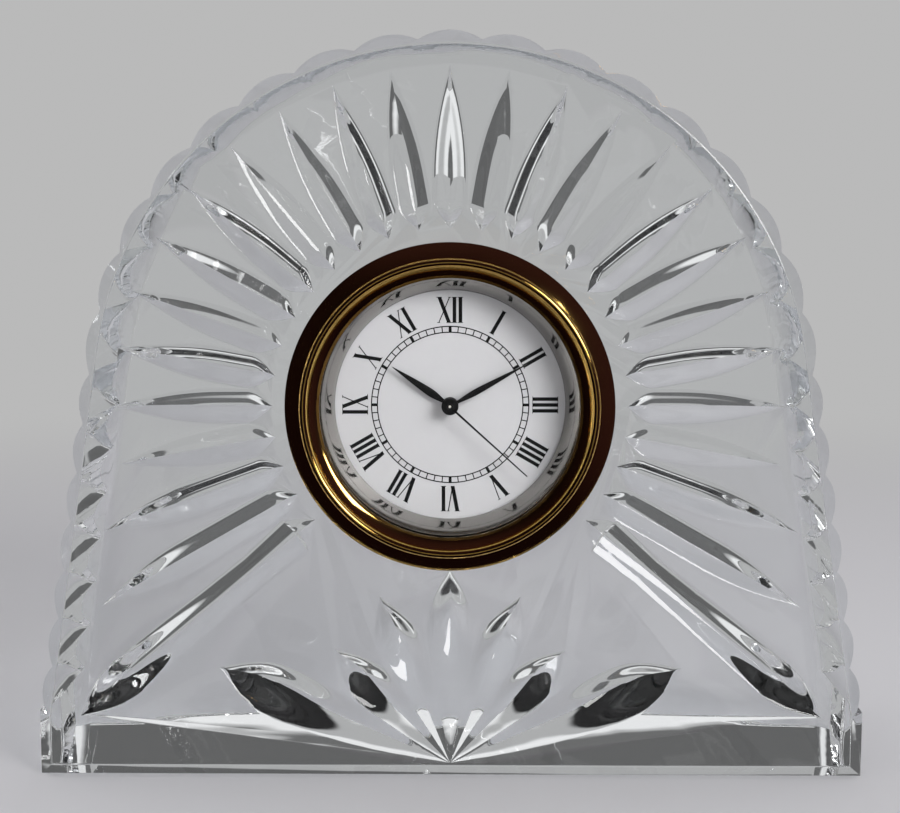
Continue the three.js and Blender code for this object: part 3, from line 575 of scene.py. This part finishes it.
class Cut:
    """A V-shaped cut: a wheel dips in, runs along and lifts out."""

    def __init__(self, span, wheel, depth, end_wheel=None, end_depth=None):
        self.span = span
        self.wheels = (wheel, end_wheel or wheel)
        self.depths = (depth, end_depth or depth)
        self.reach = tuple(wheel_reach(w, d) for w, d in zip(self.wheels, self.depths))

    def stations(self, steps=10):
        """Places along the cut where its shape is worked out."""
        first, last = self.reach
        run = self.span - first - last
        places = [first * i / steps for i in range(steps + 1)]
        if run > 1e-6:
            places += [first + run * (i + 1) / 4 for i in range(3)]
            places.append(first + run)
        places += [self.span - last + last * (i + 1) / steps for i in range(steps)]
        return places

    def end_at(self, along):
        """The wheel and depth at the nearer end, and the way past where the wheel turns."""
        first, last = self.reach
        if along < first:
            return self.wheels[0], self.depths[0], first - along
        return self.wheels[1], self.depths[1], max(along - self.span + last, 0)

    def depth_at(self, along, across):
        """Depth of the sharp V below the face."""
        first, last = self.reach
        if first < along < self.span - last:
            share = (along - first) / (self.span - first - last)
            return self.depths[0] + (self.depths[1] - self.depths[0]) * share - across
        wheel, depth, away = self.end_at(along)
        return depth - wheel + math.sqrt(max((wheel - across) ** 2 - away ** 2, 0))

    def half_width(self, along):
        """Distance from the valley to the cut's edge on the face."""
        first, last = self.reach
        if first < along < self.span - last:
            return self.depth_at(along, 0)
        wheel, depth, away = self.end_at(along)
        return wheel - math.sqrt((wheel - depth) ** 2 + away ** 2)

    def polished(self, depth, arris, softness):
        """The depth after acid polish: rounded along the edges, and in the valley when soft."""
        edge = min(max(depth, 0), arris)
        crisp = max(depth, 0) - edge + edge ** 2 / (2 * arris)
        deepest = max(self.depths)
        share = min(max(depth / deepest, 0), 1)
        wave = deepest * (1 - math.cos(math.pi * share)) / 2
        return crisp * (1 - softness) + wave * softness

    def eased(self, along, start, end, at_start, at_end):
        """Changes smoothly from one number to another between two shares of the cut's length."""
        run = min(max((along / self.span - start) / (end - start), 0), 1)
        return at_start + (at_end - at_start) * (3 - 2 * run) * run ** 2

    def tool(self, arris, softness, share=1.0, root_share=1.0, tip_share=0.6, columns=13):
        """The closed shape that takes the cut out, from x = 0 along x, on the face z = 0."""
        lift = 4 * MM
        skin = 0.004 * MM
        places = self.stations()
        bm = bmesh.new()
        bmesh.ops.create_grid(
            bm, x_segments=len(places) - 1, y_segments=2 * columns, size=1.0
        )
        for vert in bm.verts:
            row = round((vert.co.x + 1) / 2 * (len(places) - 1))
            column = round(vert.co.y * columns)
            along = places[row]
            across = max(self.half_width(along), 0) * abs(column) / (columns - 1)
            part = share * min(
                self.eased(along, 0.48, 0.78, root_share, 1),
                self.eased(along, 0.82, 1.0, 1, tip_share),
            )
            sunk = part * self.polished(self.depth_at(along, across), arris, softness)
            vert.co = (along, math.copysign(across, column), skin - sunk)
        top = bmesh.ops.extrude_face_region(bm, geom=bm.faces[:], use_keep_orig=True)
        for vert in top["geom"]:
            if isinstance(vert, bmesh.types.BMVert):
                vert.co.z = lift
        bmesh.ops.remove_doubles(bm, verts=bm.verts, dist=1e-6)
        bmesh.ops.recalc_face_normals(bm, faces=bm.faces)
        return bm


def on_face(sizes, tool, clockwise, height, distance):
    """Sets a cut on the front face, at a clock angle and distance from a centre."""
    bmesh.ops.translate(tool, verts=tool.verts, vec=(distance, 0, 0))
    turn = Matrix.Rotation(math.radians(90) - clockwise, 3, "Z")
    bmesh.ops.rotate(tool, verts=tool.verts, cent=(0, 0, 0), matrix=turn)
    bmesh.ops.translate(tool, verts=tool.verts, vec=(0, height, sizes.depth / 2))
    return tool


# Lengths and depths of the fan's cuts in millimetres, from the middle one outwards
FAN_CUTS = ((27.4, 3.2), (25.4, 3.2), (22.5, 3.2), (34.4, 4.0))


def crystal_cuts(sizes):
    """All the cuts in the front face, as one closed set of tools."""
    tools = bmesh.new()
    for i in range(-sizes.rays_beside_top, sizes.rays_beside_top + 1):
        turn = i * sizes.ray_pitch
        past = math.degrees(max(abs(turn) - sizes.long_ray_start, 0))
        span = sizes.ray_outer_radius + past * sizes.long_ray_growth - sizes.ray_inner_radius
        share = (sizes.slim_ray_share, sizes.plain_ray_share, 1)[abs(i) % 3]
        cut = Cut(span, sizes.root_wheel, sizes.ray_depth, sizes.ray_wheel)
        soft = sizes.main_ray_softness if abs(i) % 3 == 2 else sizes.slim_ray_softness
        tool = cut.tool(sizes.arris, soft, share)
        put_in(tools, on_face(sizes, tool, turn, sizes.dial_height, sizes.ray_inner_radius))
    for side in (-1, 1):
        cut = Cut(sizes.corner_length, sizes.root_wheel, sizes.ray_depth, sizes.corner_wheel,
                  sizes.corner_depth)
        tool = cut.tool(sizes.arris, sizes.main_ray_softness, root_share=sizes.corner_root_share)
        put_in(tools, on_face(sizes, tool, side * sizes.corner_angle, sizes.dial_height,
                              sizes.ray_inner_radius))
    for i, (span, depth) in enumerate(FAN_CUTS):
        root = span * MM - wheel_reach(sizes.fan_wheel, depth * MM)
        root_wheel = (root ** 2 + (depth * MM) ** 2) / (2 * depth * MM)
        cut = Cut(span * MM, root_wheel, depth * MM, sizes.fan_wheel)
        for side in (-1, 1) if i else (1,):
            tool = cut.tool(sizes.arris, sizes.fan_softness, root_share=sizes.fan_root_share)
            put_in(tools, on_face(sizes, tool, side * i * sizes.fan_pitch, sizes.fan_height, 0))
    return tools


class CLOCK_OT_crystal(bpy.types.Operator):
    """Make the cut crystal block"""
    bl_idname = "clock.crystal"
    bl_label = "Crystal Block"

    def execute(self, context):
        sizes = context.scene.crystal_sizes
        bore = bmesh.new()
        bmesh.ops.create_cone(
            bore,
            cap_ends=True,
            segments=160,
            radius1=sizes.bore_radius,
            radius2=sizes.bore_radius,
            depth=2 * sizes.depth,
        )
        bmesh.ops.translate(bore, verts=bore.verts, vec=(0, sizes.dial_height, 0))
        shape = carved(carved(block(sizes), crystal_cuts(sizes)), bore)
        bmesh.ops.remove_doubles(shape, verts=shape.verts, dist=2e-6)
        material = polished_crystal(context.scene.clock_colours)
        finished(shape, "cut_crystal_block", "crystal", material, UPRIGHT,
                 "crystal_body", crease=18)
        return {"FINISHED"}


# Bezel, lens and reflector ring

class CLOCK_OT_bezel(bpy.types.Operator):
    """Make the gold bezel, with its bead and the lip that holds the lens"""
    bl_idname = "clock.bezel"
    bl_label = "Bezel and Lens"

    def execute(self, context):
        sizes = context.scene.insert_sizes
        colours = context.scene.clock_colours
        recess = sizes.cup_radius + sizes.seat
        bead = sizes.groove_radius - sizes.bead_radius
        bead_rise = sizes.bezel_height - sizes.groove_height
        lens_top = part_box("lens")[0].y * -1 - context.scene.crystal_sizes.depth / 2
        low, high = math.radians(45), math.radians(58)
        wide = (sizes.bezel_radius - sizes.groove_radius) / (math.cos(low) - math.cos(high))
        tall = (sizes.groove_height - sizes.rim_height) / (math.sin(high) - math.sin(low))
        centre = (sizes.bezel_radius - wide * math.cos(low), sizes.rim_height - tall * math.sin(low))
        outline = [(recess, sizes.seat), (sizes.bezel_radius - sizes.seat, sizes.seat)]
        outline += arc((sizes.bezel_radius - sizes.seat, 2 * sizes.seat), (sizes.seat, sizes.seat),
                       -90, 0, 5)
        outline += [(sizes.bezel_radius, sizes.rim_height)]
        outline += arc(centre, (wide, tall), 45, 58, 16)
        outline += arc((sizes.bead_radius, sizes.groove_height), (bead, bead_rise), 0, 150, 24)
        lip = sizes.lip_height - 0.6 * MM
        outline += [(sizes.opening_radius + 0.1 * MM, lip)]
        outline += arc((sizes.opening_radius + 0.1 * MM, lip - 0.1 * MM), (0.1 * MM, 0.1 * MM),
                       90, 180, 4)
        outline.append((sizes.opening_radius, lens_top + sizes.seat))
        outline.append((recess, lens_top + sizes.seat))
        finished(spun(outline, 256), "gold_bezel", "insert",
                 polished_gold_plate(colours), insert_place(), "bezel", crease=35)
        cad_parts["lens"].data.materials.clear()
        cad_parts["lens"].data.materials.append(mineral_glass(colours))
        return {"FINISHED"}


class CLOCK_OT_reflector(bpy.types.Operator):
    """Make the bright sloping ring between the lens and the dial"""
    bl_idname = "clock.reflector"
    bl_label = "Reflector Ring"

    def execute(self, context):
        sizes = context.scene.insert_sizes
        low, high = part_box("reflector_ring")
        front = -low.y - context.scene.crystal_sizes.depth / 2
        back = -high.y - context.scene.crystal_sizes.depth / 2
        wall = sizes.cup_radius - sizes.cup_wall - sizes.seat
        edge = 0.12 * MM
        outline = [(wall, back), (wall, front)]
        outline += [(sizes.ring_top_radius + edge, front), (sizes.ring_top_radius, front - edge)]
        outline += [(sizes.ring_bottom_radius, back + edge), (sizes.ring_bottom_radius, back)]
        finished(spun(outline, 256), "bright_ring", "insert",
                 bright_reflector(context.scene.clock_colours), insert_place(),
                 "reflector_ring", crease=35)
        return {"FINISHED"}


# Dial

# Each letter as strokes: foot, head and width as shares of the numeral's height
LETTERS = {
    "I": (0.23, ((0.0, 0.0, 0.14),)),
    "V": (0.52, ((0.02, -0.17, 0.15), (0.02, 0.19, 0.04))),
    "X": (0.56, ((0.19, -0.19, 0.15), (-0.21, 0.21, 0.04))),
}
NUMERALS = ("XII", "I", "II", "III", "IIII", "V", "VI", "VII", "VIII", "IX", "X", "XI")


def stroke(foot, head, low, high, width, bottom, top):
    """A straight pen stroke from its foot to its head, cut level at both ends."""
    half = width / 2
    return plate(
        [(foot - half, low), (foot + half, low), (head + half, high), (head - half, high)],
        bottom,
        top,
    )


def numeral(letters, sizes, bottom, top):
    """A roman numeral with its foot towards the centre, on the line to 12."""
    bm = bmesh.new()
    tall = sizes.numeral_height
    low = sizes.numeral_foot
    serif = 0.025 * tall
    total = sum(LETTERS[letter][0] for letter in letters) * tall
    left = -total / 2
    for letter in letters:
        advance, strokes = LETTERS[letter]
        middle = left + advance * tall / 2
        for foot, head, width in strokes:
            x0, x1, wide = middle + foot * tall, middle + head * tall, width * tall
            put_in(bm, stroke(x0, x1, low, low + tall, wide, bottom, top))
            flare = wide + 0.07 * tall
            put_in(bm, stroke(x1, x1, low + tall - serif, low + tall, flare, bottom, top))
            if letter != "V":
                put_in(bm, stroke(x0, x0, low, low + serif, flare, bottom, top))
        left += advance * tall
    return bm


class CLOCK_OT_dial(bpy.types.Operator):
    """Make the dial, with its numerals and minute track"""
    bl_idname = "clock.dial"
    bl_label = "Dial"

    def execute(self, context):
        sizes = context.scene.insert_sizes
        colours = context.scene.clock_colours
        low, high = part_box("dial")
        front = -low.y - context.scene.crystal_sizes.depth / 2
        back = -high.y - context.scene.crystal_sizes.depth / 2
        hole = 1.0 * MM
        edge = 0.06 * MM
        outline = [(hole, back), (high.x, back), (high.x, front - edge), (high.x - edge, front)]
        outline += [(hole, front)]
        finished(spun(outline, 192), "dial_plate", "insert",
                 dial_lacquer(colours), insert_place(), "dial")
        top = front + sizes.ink
        print_ = bmesh.new()
        for hour, letters in enumerate(NUMERALS):
            put_in(print_, turned(numeral(letters, sizes, front, top), math.radians(30 * hour)))
        line = 0.15 * MM
        for radius in (sizes.track_inner, sizes.track_outer):
            ring = [(radius, front), (radius + line, front), (radius + line, top), (radius, top)]
            put_in(print_, spun(ring, 180))
        for minute in range(60):
            width = 0.4 * MM if minute % 5 == 0 else 0.14 * MM
            tick = stroke(0, 0, sizes.track_inner, sizes.track_outer + line, width, front, top)
            put_in(print_, turned(tick, math.radians(6 * minute)))
        finished(print_, "dial_print", "insert", printed_ink(colours),
                 insert_place())
        return {"FINISHED"}


# Hands

def bevelled(bm, width):
    """Rounds the sharp edges of a flat piece."""
    sharp = [e for e in bm.edges if len(e.link_faces) == 2 and e.calc_face_angle() > 0.7]
    bmesh.ops.bevel(
        bm,
        geom=sharp,
        offset=width,
        affect="EDGES",
        segments=2,
        profile=0.5,
        material=-1,
        clamp_overlap=True,
    )
    return bm


def leaf(span, width, steps=20):
    """A slim leaf along y: a narrow neck, a belly a third of the way out and a long point."""
    belly = 0.34 * span
    neck = 0.15 * MM
    side = []
    for i in range(steps):
        along = span * i / (steps - 1)
        if along < belly:
            share = along / belly
            half = neck + (width / 2 - neck) * (3 * share ** 2 - 2 * share ** 3)
        else:
            share = (along - belly) / (span - belly)
            half = width / 2 * (1 - share ** 1.35) + 0.03 * MM * share
        side.append((half, along))
    return side + [(-x, y) for x, y in reversed(side)]


def hand(span, width, low, high, clockwise):
    """A flat leaf with rounded edges, turned clockwise about the centre."""
    bm = plate(leaf(span, width), low, high)
    return turned(bevelled(bm, 0.05 * MM), clockwise)


class CLOCK_OT_hands(bpy.types.Operator):
    """Make the hour, minute and seconds hands"""
    bl_idname = "clock.hands"
    bl_label = "Hands"

    def execute(self, context):
        sizes = context.scene.insert_sizes
        material = hand_enamel(context.scene.clock_colours)
        half_depth = context.scene.crystal_sizes.depth / 2
        hands = (
            ("hour", sizes.hour_length, sizes.hour_width, sizes.hour_angle, 0.75 * MM),
            ("minute", sizes.minute_length, sizes.minute_width, sizes.minute_angle, 0.5 * MM),
        )
        for body, span, width, clockwise, hole in hands:
            low, high = (-v.y - half_depth for v in reversed(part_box(body + "_hand")))
            shape = hand(span, width, low, high, clockwise)
            edge = 0.05 * MM
            hub = [(hole, low), (sizes.hub_radius - edge, low), (sizes.hub_radius, low + edge)]
            hub += [(sizes.hub_radius, high - edge), (sizes.hub_radius - edge, high), (hole, high)]
            put_in(shape, spun(hub, 64))
            finished(shape, body + "_leaf", body, material, insert_place(),
                     body + "_hand")
        low, high = (-v.y - half_depth for v in reversed(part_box("seconds_hand")))
        half = sizes.seconds_width / 2
        needle = plate([(-half, 0), (half, 0), (half / 2, sizes.seconds_length),
                        (-half / 2, sizes.seconds_length)], low, high)
        needle = turned(bevelled(needle, 0.03 * MM), sizes.seconds_angle)
        edge = 0.08 * MM
        hub = [(0, low), (sizes.hub_radius - edge, low), (sizes.hub_radius, low + edge)]
        hub += [(sizes.hub_radius, high - edge), (sizes.hub_radius - edge, high)]
        hub += [(0.45 * MM, high), (0.42 * MM, high - edge), (0, high - edge)]
        put_in(needle, spun(hub, 64))
        finished(needle, "seconds_needle", "seconds", material, insert_place(),
                 "seconds_hand")
        return {"FINISHED"}


# Case

def rounded_spin(outline, width, steps=128):
    """Turns an outline and rounds its edges."""
    return bevelled(spun(outline, steps), width)


class CLOCK_OT_case(bpy.types.Operator):
    """Make the plastic cup, the rubber grip ring, the setting knob and the battery cover"""
    bl_idname = "clock.case"
    bl_label = "Case"

    def execute(self, context):
        sizes = context.scene.insert_sizes
        colours = context.scene.clock_colours
        half_depth = context.scene.crystal_sizes.depth / 2
        place = insert_place()
        plastic = moulded_abs(colours)
        high, low = (-v.y - half_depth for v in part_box("case_cup"))
        inner = sizes.cup_radius - sizes.cup_wall
        cup = spun([(0, low), (sizes.cup_radius, low), (sizes.cup_radius, high), (inner, high),
                    (inner, low + sizes.cup_wall), (0, low + sizes.cup_wall)], 128)
        cover_low, cover_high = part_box("battery_cover")
        cover_middle = (cover_low + cover_high) / 2
        cover_radius = (cover_high.x - cover_low.x) / 2
        knob_low, knob_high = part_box("setting_knob")
        knob_middle = (knob_low + knob_high) / 2
        for middle, radius in ((cover_middle, cover_radius + sizes.seat), (knob_middle, 0.9 * MM)):
            drill = bmesh.new()
            bmesh.ops.create_cone(drill, cap_ends=True, segments=96, radius1=radius,
                                  radius2=radius, depth=4 * MM)
            spot = (middle.x, middle.z - place.translation.z, low)
            bmesh.ops.translate(drill, verts=drill.verts, vec=spot)
            cup = carved(cup, drill)
        finished(bevelled(cup, 0.15 * MM), "movement_cup", "insert", plastic,
                 place, "case_cup")

        grip_low, grip_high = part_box("grip_ring")
        front, back = -grip_low.y - half_depth, -grip_high.y - half_depth
        inner = sizes.cup_radius + sizes.seat
        wall, rib = inner + 0.4 * MM, grip_high.x
        pitch = (front - back) / 4
        outline = [(inner, front), (inner, back)]
        for i in range(4):
            middle = back + pitch * (i + 0.5)
            outline.append((wall, middle - pitch / 2 + 0.05 * MM))
            outline += arc((wall, middle), (rib - wall, pitch * 0.32), -90, 90, 10)
        outline.append((wall, front))
        finished(spun(outline, 128), "rubber_grip_ring", "insert",
                 silicone_rubber(colours), place, "grip_ring")

        knob_front, knob_back = -knob_low.y - half_depth, -knob_high.y - half_depth
        points = []
        for i in range(sizes.knob_ribs * 8):
            turn = 2 * math.pi * i / (sizes.knob_ribs * 8)
            wave = abs(math.sin(turn * sizes.knob_ribs / 2))
            radius = sizes.knob_radius - sizes.knob_rib_depth * (1 - wave)
            points.append((radius * math.cos(turn), radius * math.sin(turn)))
        knob = bevelled(plate(points, knob_back, knob_front), 0.2 * MM)
        spot = (knob_middle.x, knob_middle.z - place.translation.z, 0)
        bmesh.ops.translate(knob, verts=knob.verts, vec=spot)
        finished(knob, "ribbed_knob", "setting", plastic, place, "setting_knob")

        front, back = -cover_low.y - half_depth, -cover_high.y - half_depth
        cover = spun([(0, back), (cover_radius, back), (cover_radius, front), (0, front)], 96)
        slot = bmesh.new()
        bmesh.ops.create_cube(slot, size=1.0)
        bmesh.ops.scale(slot, verts=slot.verts, vec=(7 * MM, 1.2 * MM, 0.8 * MM))
        bmesh.ops.translate(slot, verts=slot.verts, vec=(0, 0, back))
        cover = bevelled(carved(cover, slot), 0.12 * MM)
        spot = (cover_middle.x, cover_middle.z - place.translation.z, 0)
        bmesh.ops.translate(cover, verts=cover.verts, vec=spot)
        finished(cover, "coin_slot_cover", "cover", plastic, place,
                 "battery_cover")
        return {"FINISHED"}


# Movement

class CLOCK_OT_movement(bpy.types.Operator):
    """Give the pieces of the movement their materials"""
    bl_idname = "clock.movement"
    bl_label = "Movement"

    def execute(self, context):
        # Lathe-turned brass: warm, with uneven roughness and a fine bump.
        brass = turned_metal("turned_brass", "#c9a763", (0.2, 0.34))
        # Nickel-plated steel: grey and fairly bright.
        steel = turned_metal("nickel_plated_steel", "#b5b6b8", (0.2, 0.36))
        # Sintered ferrite: dull dark grey, with a grainy skin.
        magnet = turned_metal("sintered_ferrite", "#55575a", (0.55, 0.7))
        # Enamelled copper wire: reddish and glossy.
        copper = turned_metal("enamelled_copper", "#b36a3a", (0.25, 0.4))
        # Moulded nylon: milky white and waxy.
        nylon = moulded_plastic("moulded_nylon", "#ebe9df", (0.3, 0.42))
        # Moulded ABS plates: cream and dull.
        cream = moulded_plastic("cream_abs", "#dcd6c5", (0.42, 0.55))
        # Solder mask on glass-fibre board: glossy green with a slightly uneven skin.
        board = moulded_plastic("solder_mask", "#2a6647", (0.25, 0.38))
        # Moulded epoxy: the dull black of a chip.
        chip = moulded_plastic("moulded_epoxy", "#1a1a1c", (0.45, 0.6))
        finishes = {
            brass: ("cannon_pinion", "centre_wheel", "front_contact", "side_contact"),
            nylon: ("hour_wheel", "minute_wheel", "setting_stem", "seconds_wheel", "third_wheel",
                    "intermediate_wheel"),
            cream: ("main_plate", "train_bridge"),
            steel: ("bridge_screw_1", "bridge_screw_2", "bridge_screw_3", "button_cell",
                    "stator", "coil_core", "quartz_can"),
            magnet: ("rotor",),
            copper: ("coil_winding",),
            board: ("circuit_board",),
            chip: ("clock_chip",),
        }
        for material, names in finishes.items():
            for name in names:
                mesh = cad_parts[name].data
                mesh.materials.clear()
                mesh.materials.append(material)
        return {"FINISHED"}


# Studio

def softbox(name, place, aim, width, height, power, tint=(1.0, 1.0, 1.0)):
    """A soft rectangular lamp that shines towards a point."""
    light = bpy.data.lights.new(name, "AREA")
    light.shape = "RECTANGLE"
    light.size = width
    light.size_y = height
    light.energy = power
    light.color = tint
    lamp = bpy.data.objects.new(name, light)
    lamp.location = place
    lamp.rotation_euler = (Vector(aim) - Vector(place)).to_track_quat("-Z", "Y").to_euler()
    bpy.context.scene.collection.objects.link(lamp)
    return lamp


def smooth_between(tree, value, low, high, at_low, at_high):
    """A smooth change from one number to another as the value goes from low to high."""
    node = add_node(
        tree,
        "ShaderNodeMapRange",
        {"Value": value, "From Min": low, "From Max": high, "To Min": at_low, "To Max": at_high},
        interpolation_type="SMOOTHSTEP",
    )
    return node.outputs["Result"]


def times(tree, first, second):
    node = add_node(tree, "ShaderNodeMath", {0: first, 1: second}, operation="MULTIPLY")
    return node.outputs["Value"]


def chosen(tree, switch, off, on):
    """One of two numbers, by a switch of 0 or 1."""
    node = add_node(tree, "ShaderNodeMix", {0: switch, 2: off, 3: on})
    return node.outputs[0]


def room(scene, pale):
    """The room's light: plain and pale all round, with a dark ceiling behind the clock."""
    world = bpy.data.worlds.new("studio_room")
    scene.world = world
    world.use_nodes = True
    tree = world.node_tree
    shader = tree.nodes["Background"]
    path = add_node(tree, "ShaderNodeLightPath")
    place = add_node(tree, "ShaderNodeTexCoord")
    way = add_node(tree, "ShaderNodeSeparateXYZ", {"Vector": place.outputs["Generated"]})
    back, up = way.outputs["Y"], way.outputs["Z"]

    # Seen through the glass there is a pale backdrop in a grey frame, with pale walls round it,
    # and then the black end of the room.
    side = add_node(tree, "ShaderNodeMath", {0: way.outputs["X"]}, operation="ABSOLUTE")
    wide = add_node(tree, "ShaderNodeMath", {0: side.outputs["Value"], 1: 0.29}, operation="DIVIDE")
    tall = add_node(tree, "ShaderNodeMath", {0: up, 1: 0.29}, operation="DIVIDE")
    box = add_node(
        tree,
        "ShaderNodeMath",
        {0: wide.outputs["Value"], 1: tall.outputs["Value"]},
        operation="MAXIMUM",
    ).outputs["Value"]
    frame_in = smooth_between(tree, box, 0.90, 0.94, 0, 1)
    frame_out = smooth_between(tree, box, 1.25, 1.30, 1, 0)
    edge = times(tree, times(tree, frame_in, frame_out), smooth_between(tree, back, 0, 0.2, 0, 1))
    inner = smooth_between(tree, back, 0.84, 0.87, 1, 0)
    outer = smooth_between(tree, back, 0.15, 0.30, 0, 1)
    high = smooth_between(tree, up, 0.02, 0.08, 0, 1)
    ring = times(tree, times(tree, inner, outer), high)
    through = smooth_between(tree, edge, 0, 1, pale, 0.13)
    glow_in = smooth_between(tree, box, 1.29, 1.34, 0, 1)
    glow_out = smooth_between(tree, box, 1.50, 1.58, 1, 0)
    glow = times(tree, glow_in, glow_out)
    through = chosen(tree, glow, through, 0.95)
    through = times(tree, through, smooth_between(tree, ring, 0, 1, 1, 0.01))

    # Mirrored in metal, the room is black, with a brown wall to the side and a pale ring round
    # the camera.
    towards_camera = (0, -0.9925, -0.122)
    lens_dot = add_node(
        tree,
        "ShaderNodeVectorMath",
        {0: place.outputs["Generated"], 1: towards_camera},
        operation="DOT_PRODUCT",
    ).outputs["Value"]
    spot_out = smooth_between(tree, lens_dot, 0.976, 0.982, 0, 1)
    spot_in = smooth_between(tree, lens_dot, 0.9945, 0.9962, 1, 0)
    spot = times(tree, spot_out, spot_in)
    corner = add_node(tree, "ShaderNodeMath", {0: way.outputs["X"], 1: up}, operation="ADD")
    brown = times(
        tree,
        smooth_between(tree, corner.outputs["Value"], -0.2, 0.9, 0.008, 0.033),
        smooth_between(tree, back, -0.8, -0.2, 0.3, 1),
    )
    mirrored = chosen(tree, spot, brown, 0.55)
    tint = add_node(
        tree,
        "ShaderNodeMix",
        {0: spot, 6: (0.9, 0.42, 0.9, 1), 7: (1, 1, 1, 1)},
        data_type="RGBA",
    ).outputs[2]

    # A ray that is refracted counts as glossy too, so the glass comes after the mirrors.
    seen = chosen(tree, path.outputs["Is Glossy Ray"], pale, mirrored)
    seen = chosen(tree, path.outputs["Is Transmission Ray"], seen, through)
    seen = chosen(tree, path.outputs["Is Diffuse Ray"], seen, 0.26)
    clear = chosen(tree, path.outputs["Is Glossy Ray"], 1, path.outputs["Is Transmission Ray"])
    hue = add_node(tree, "ShaderNodeMix", {0: clear, 6: tint, 7: (1, 1, 1, 1)}, data_type="RGBA")
    tree.links.new(hue.outputs[2], shader.inputs["Color"])
    tree.links.new(seen, shader.inputs["Strength"])


def paper(colours, pale):
    """Matt white paper on the table, that fades far off into the pale wall."""
    material, tree, shader = new_material("studio_paper", colours.floor, roughness=0.55)
    output = tree.nodes["Material Output"]
    place = add_node(tree, "ShaderNodeTexCoord")
    away = add_node(tree, "ShaderNodeVectorMath", {0: place.outputs["Object"]}, operation="LENGTH")
    far = smooth_between(tree, away.outputs["Value"], 0.14, 0.42, 0, 1)
    glow = add_node(tree, "ShaderNodeEmission", {"Color": (pale, pale, pale, 1), "Strength": 1})
    mixed = add_node(
        tree,
        "ShaderNodeMixShader",
        {0: far, 1: shader.outputs["BSDF"], 2: glow.outputs["Emission"]},
    )
    tree.links.new(mixed.outputs["Shader"], output.inputs["Surface"])
    return material


class CLOCK_OT_studio(bpy.types.Operator):
    """Make the floor, the lamps, the room's light and the camera"""
    bl_idname = "clock.studio"
    bl_label = "Studio"

    def execute(self, context):
        scene = context.scene
        studio = scene.studio_sizes
        colours = scene.clock_colours
        crystal = scene.crystal_sizes
        scene.view_settings.view_transform = "Standard"
        scene.cycles.max_bounces = 24
        scene.cycles.transmission_bounces = 24
        scene.cycles.glossy_bounces = 12

        pale = studio.pale
        bm = bmesh.new()
        bmesh.ops.create_grid(bm, x_segments=1, y_segments=1, size=studio.floor_reach)
        floor = new_object(bm, "floor")
        floor.data.materials.append(paper(colours, pale))
        floor.location.z = -studio.floor_gap
        floor.visible_glossy = False

        middle = (0, 0, crystal.dial_height)
        softbox("key_softbox", (0.50, -0.57, 0.36), middle, 0.36, 0.36, studio.key_power)
        top = softbox("top_softbox", (-0.10, 0.15, 1.0), middle, 1.2, 1.0, studio.top_power)
        top.visible_glossy = False
        top.visible_transmission = False
        room(scene, pale)

        camera = bpy.data.objects.new("camera", bpy.data.cameras.new("camera"))
        camera.data.lens = studio.lens
        camera.data.clip_start = 0.01
        target = Vector((0, -crystal.depth / 2, crystal.dial_height))
        camera.location = (
            studio.camera_side,
            -crystal.depth / 2 - studio.camera_distance,
            studio.camera_height,
        )
        camera.rotation_euler = (target - camera.location).to_track_quat("-Z", "Y").to_euler()
        scene.collection.objects.link(camera)
        scene.camera = camera
        return {"FINISHED"}


# Panel and registration

OPERATORS = (
    CLOCK_OT_crystal,
    CLOCK_OT_bezel,
    CLOCK_OT_reflector,
    CLOCK_OT_dial,
    CLOCK_OT_hands,
    CLOCK_OT_case,
    CLOCK_OT_movement,
    CLOCK_OT_studio,
)
GROUPS = {
    "crystal_sizes": CrystalSizes,
    "insert_sizes": InsertSizes,
    "clock_colours": ClockColours,
    "studio_sizes": StudioSizes,
}


class CLOCK_PT_panel(bpy.types.Panel):
    """Sizes, colours and makers of the crystal clock"""
    bl_label = "Crystal Clock"
    bl_idname = "CLOCK_PT_panel"
    bl_space_type = "VIEW_3D"
    bl_region_type = "UI"
    bl_category = "Crystal Clock"

    def draw(self, context):
        layout = self.layout
        for operator in OPERATORS:
            layout.operator(operator.bl_idname)
        for name in GROUPS:
            group = getattr(context.scene, name)
            column = layout.column(heading=name.replace("_", " ").title())
            for key in group.bl_rna.properties.keys():
                if key not in ("rna_type", "name"):
                    column.prop(group, key)


def register():
    for group in GROUPS.values():
        bpy.utils.register_class(group)
    for operator in OPERATORS:
        bpy.utils.register_class(operator)
    bpy.utils.register_class(CLOCK_PT_panel)
    for name, group in GROUPS.items():
        setattr(bpy.types.Scene, name, PointerProperty(type=group))


def unregister():
    for name in GROUPS:
        delattr(bpy.types.Scene, name)
    bpy.utils.unregister_class(CLOCK_PT_panel)
    for operator in reversed(OPERATORS):
        bpy.utils.unregister_class(operator)
    for group in reversed(GROUPS.values()):
        bpy.utils.unregister_class(group)


def main():
    register()
    bpy.ops.clock.crystal()
    bpy.ops.clock.bezel()
    bpy.ops.clock.reflector()
    bpy.ops.clock.dial()
    bpy.ops.clock.hands()
    bpy.ops.clock.case()
    bpy.ops.clock.movement()
    bpy.ops.clock.studio()


if __name__ == "__main__":
    main()
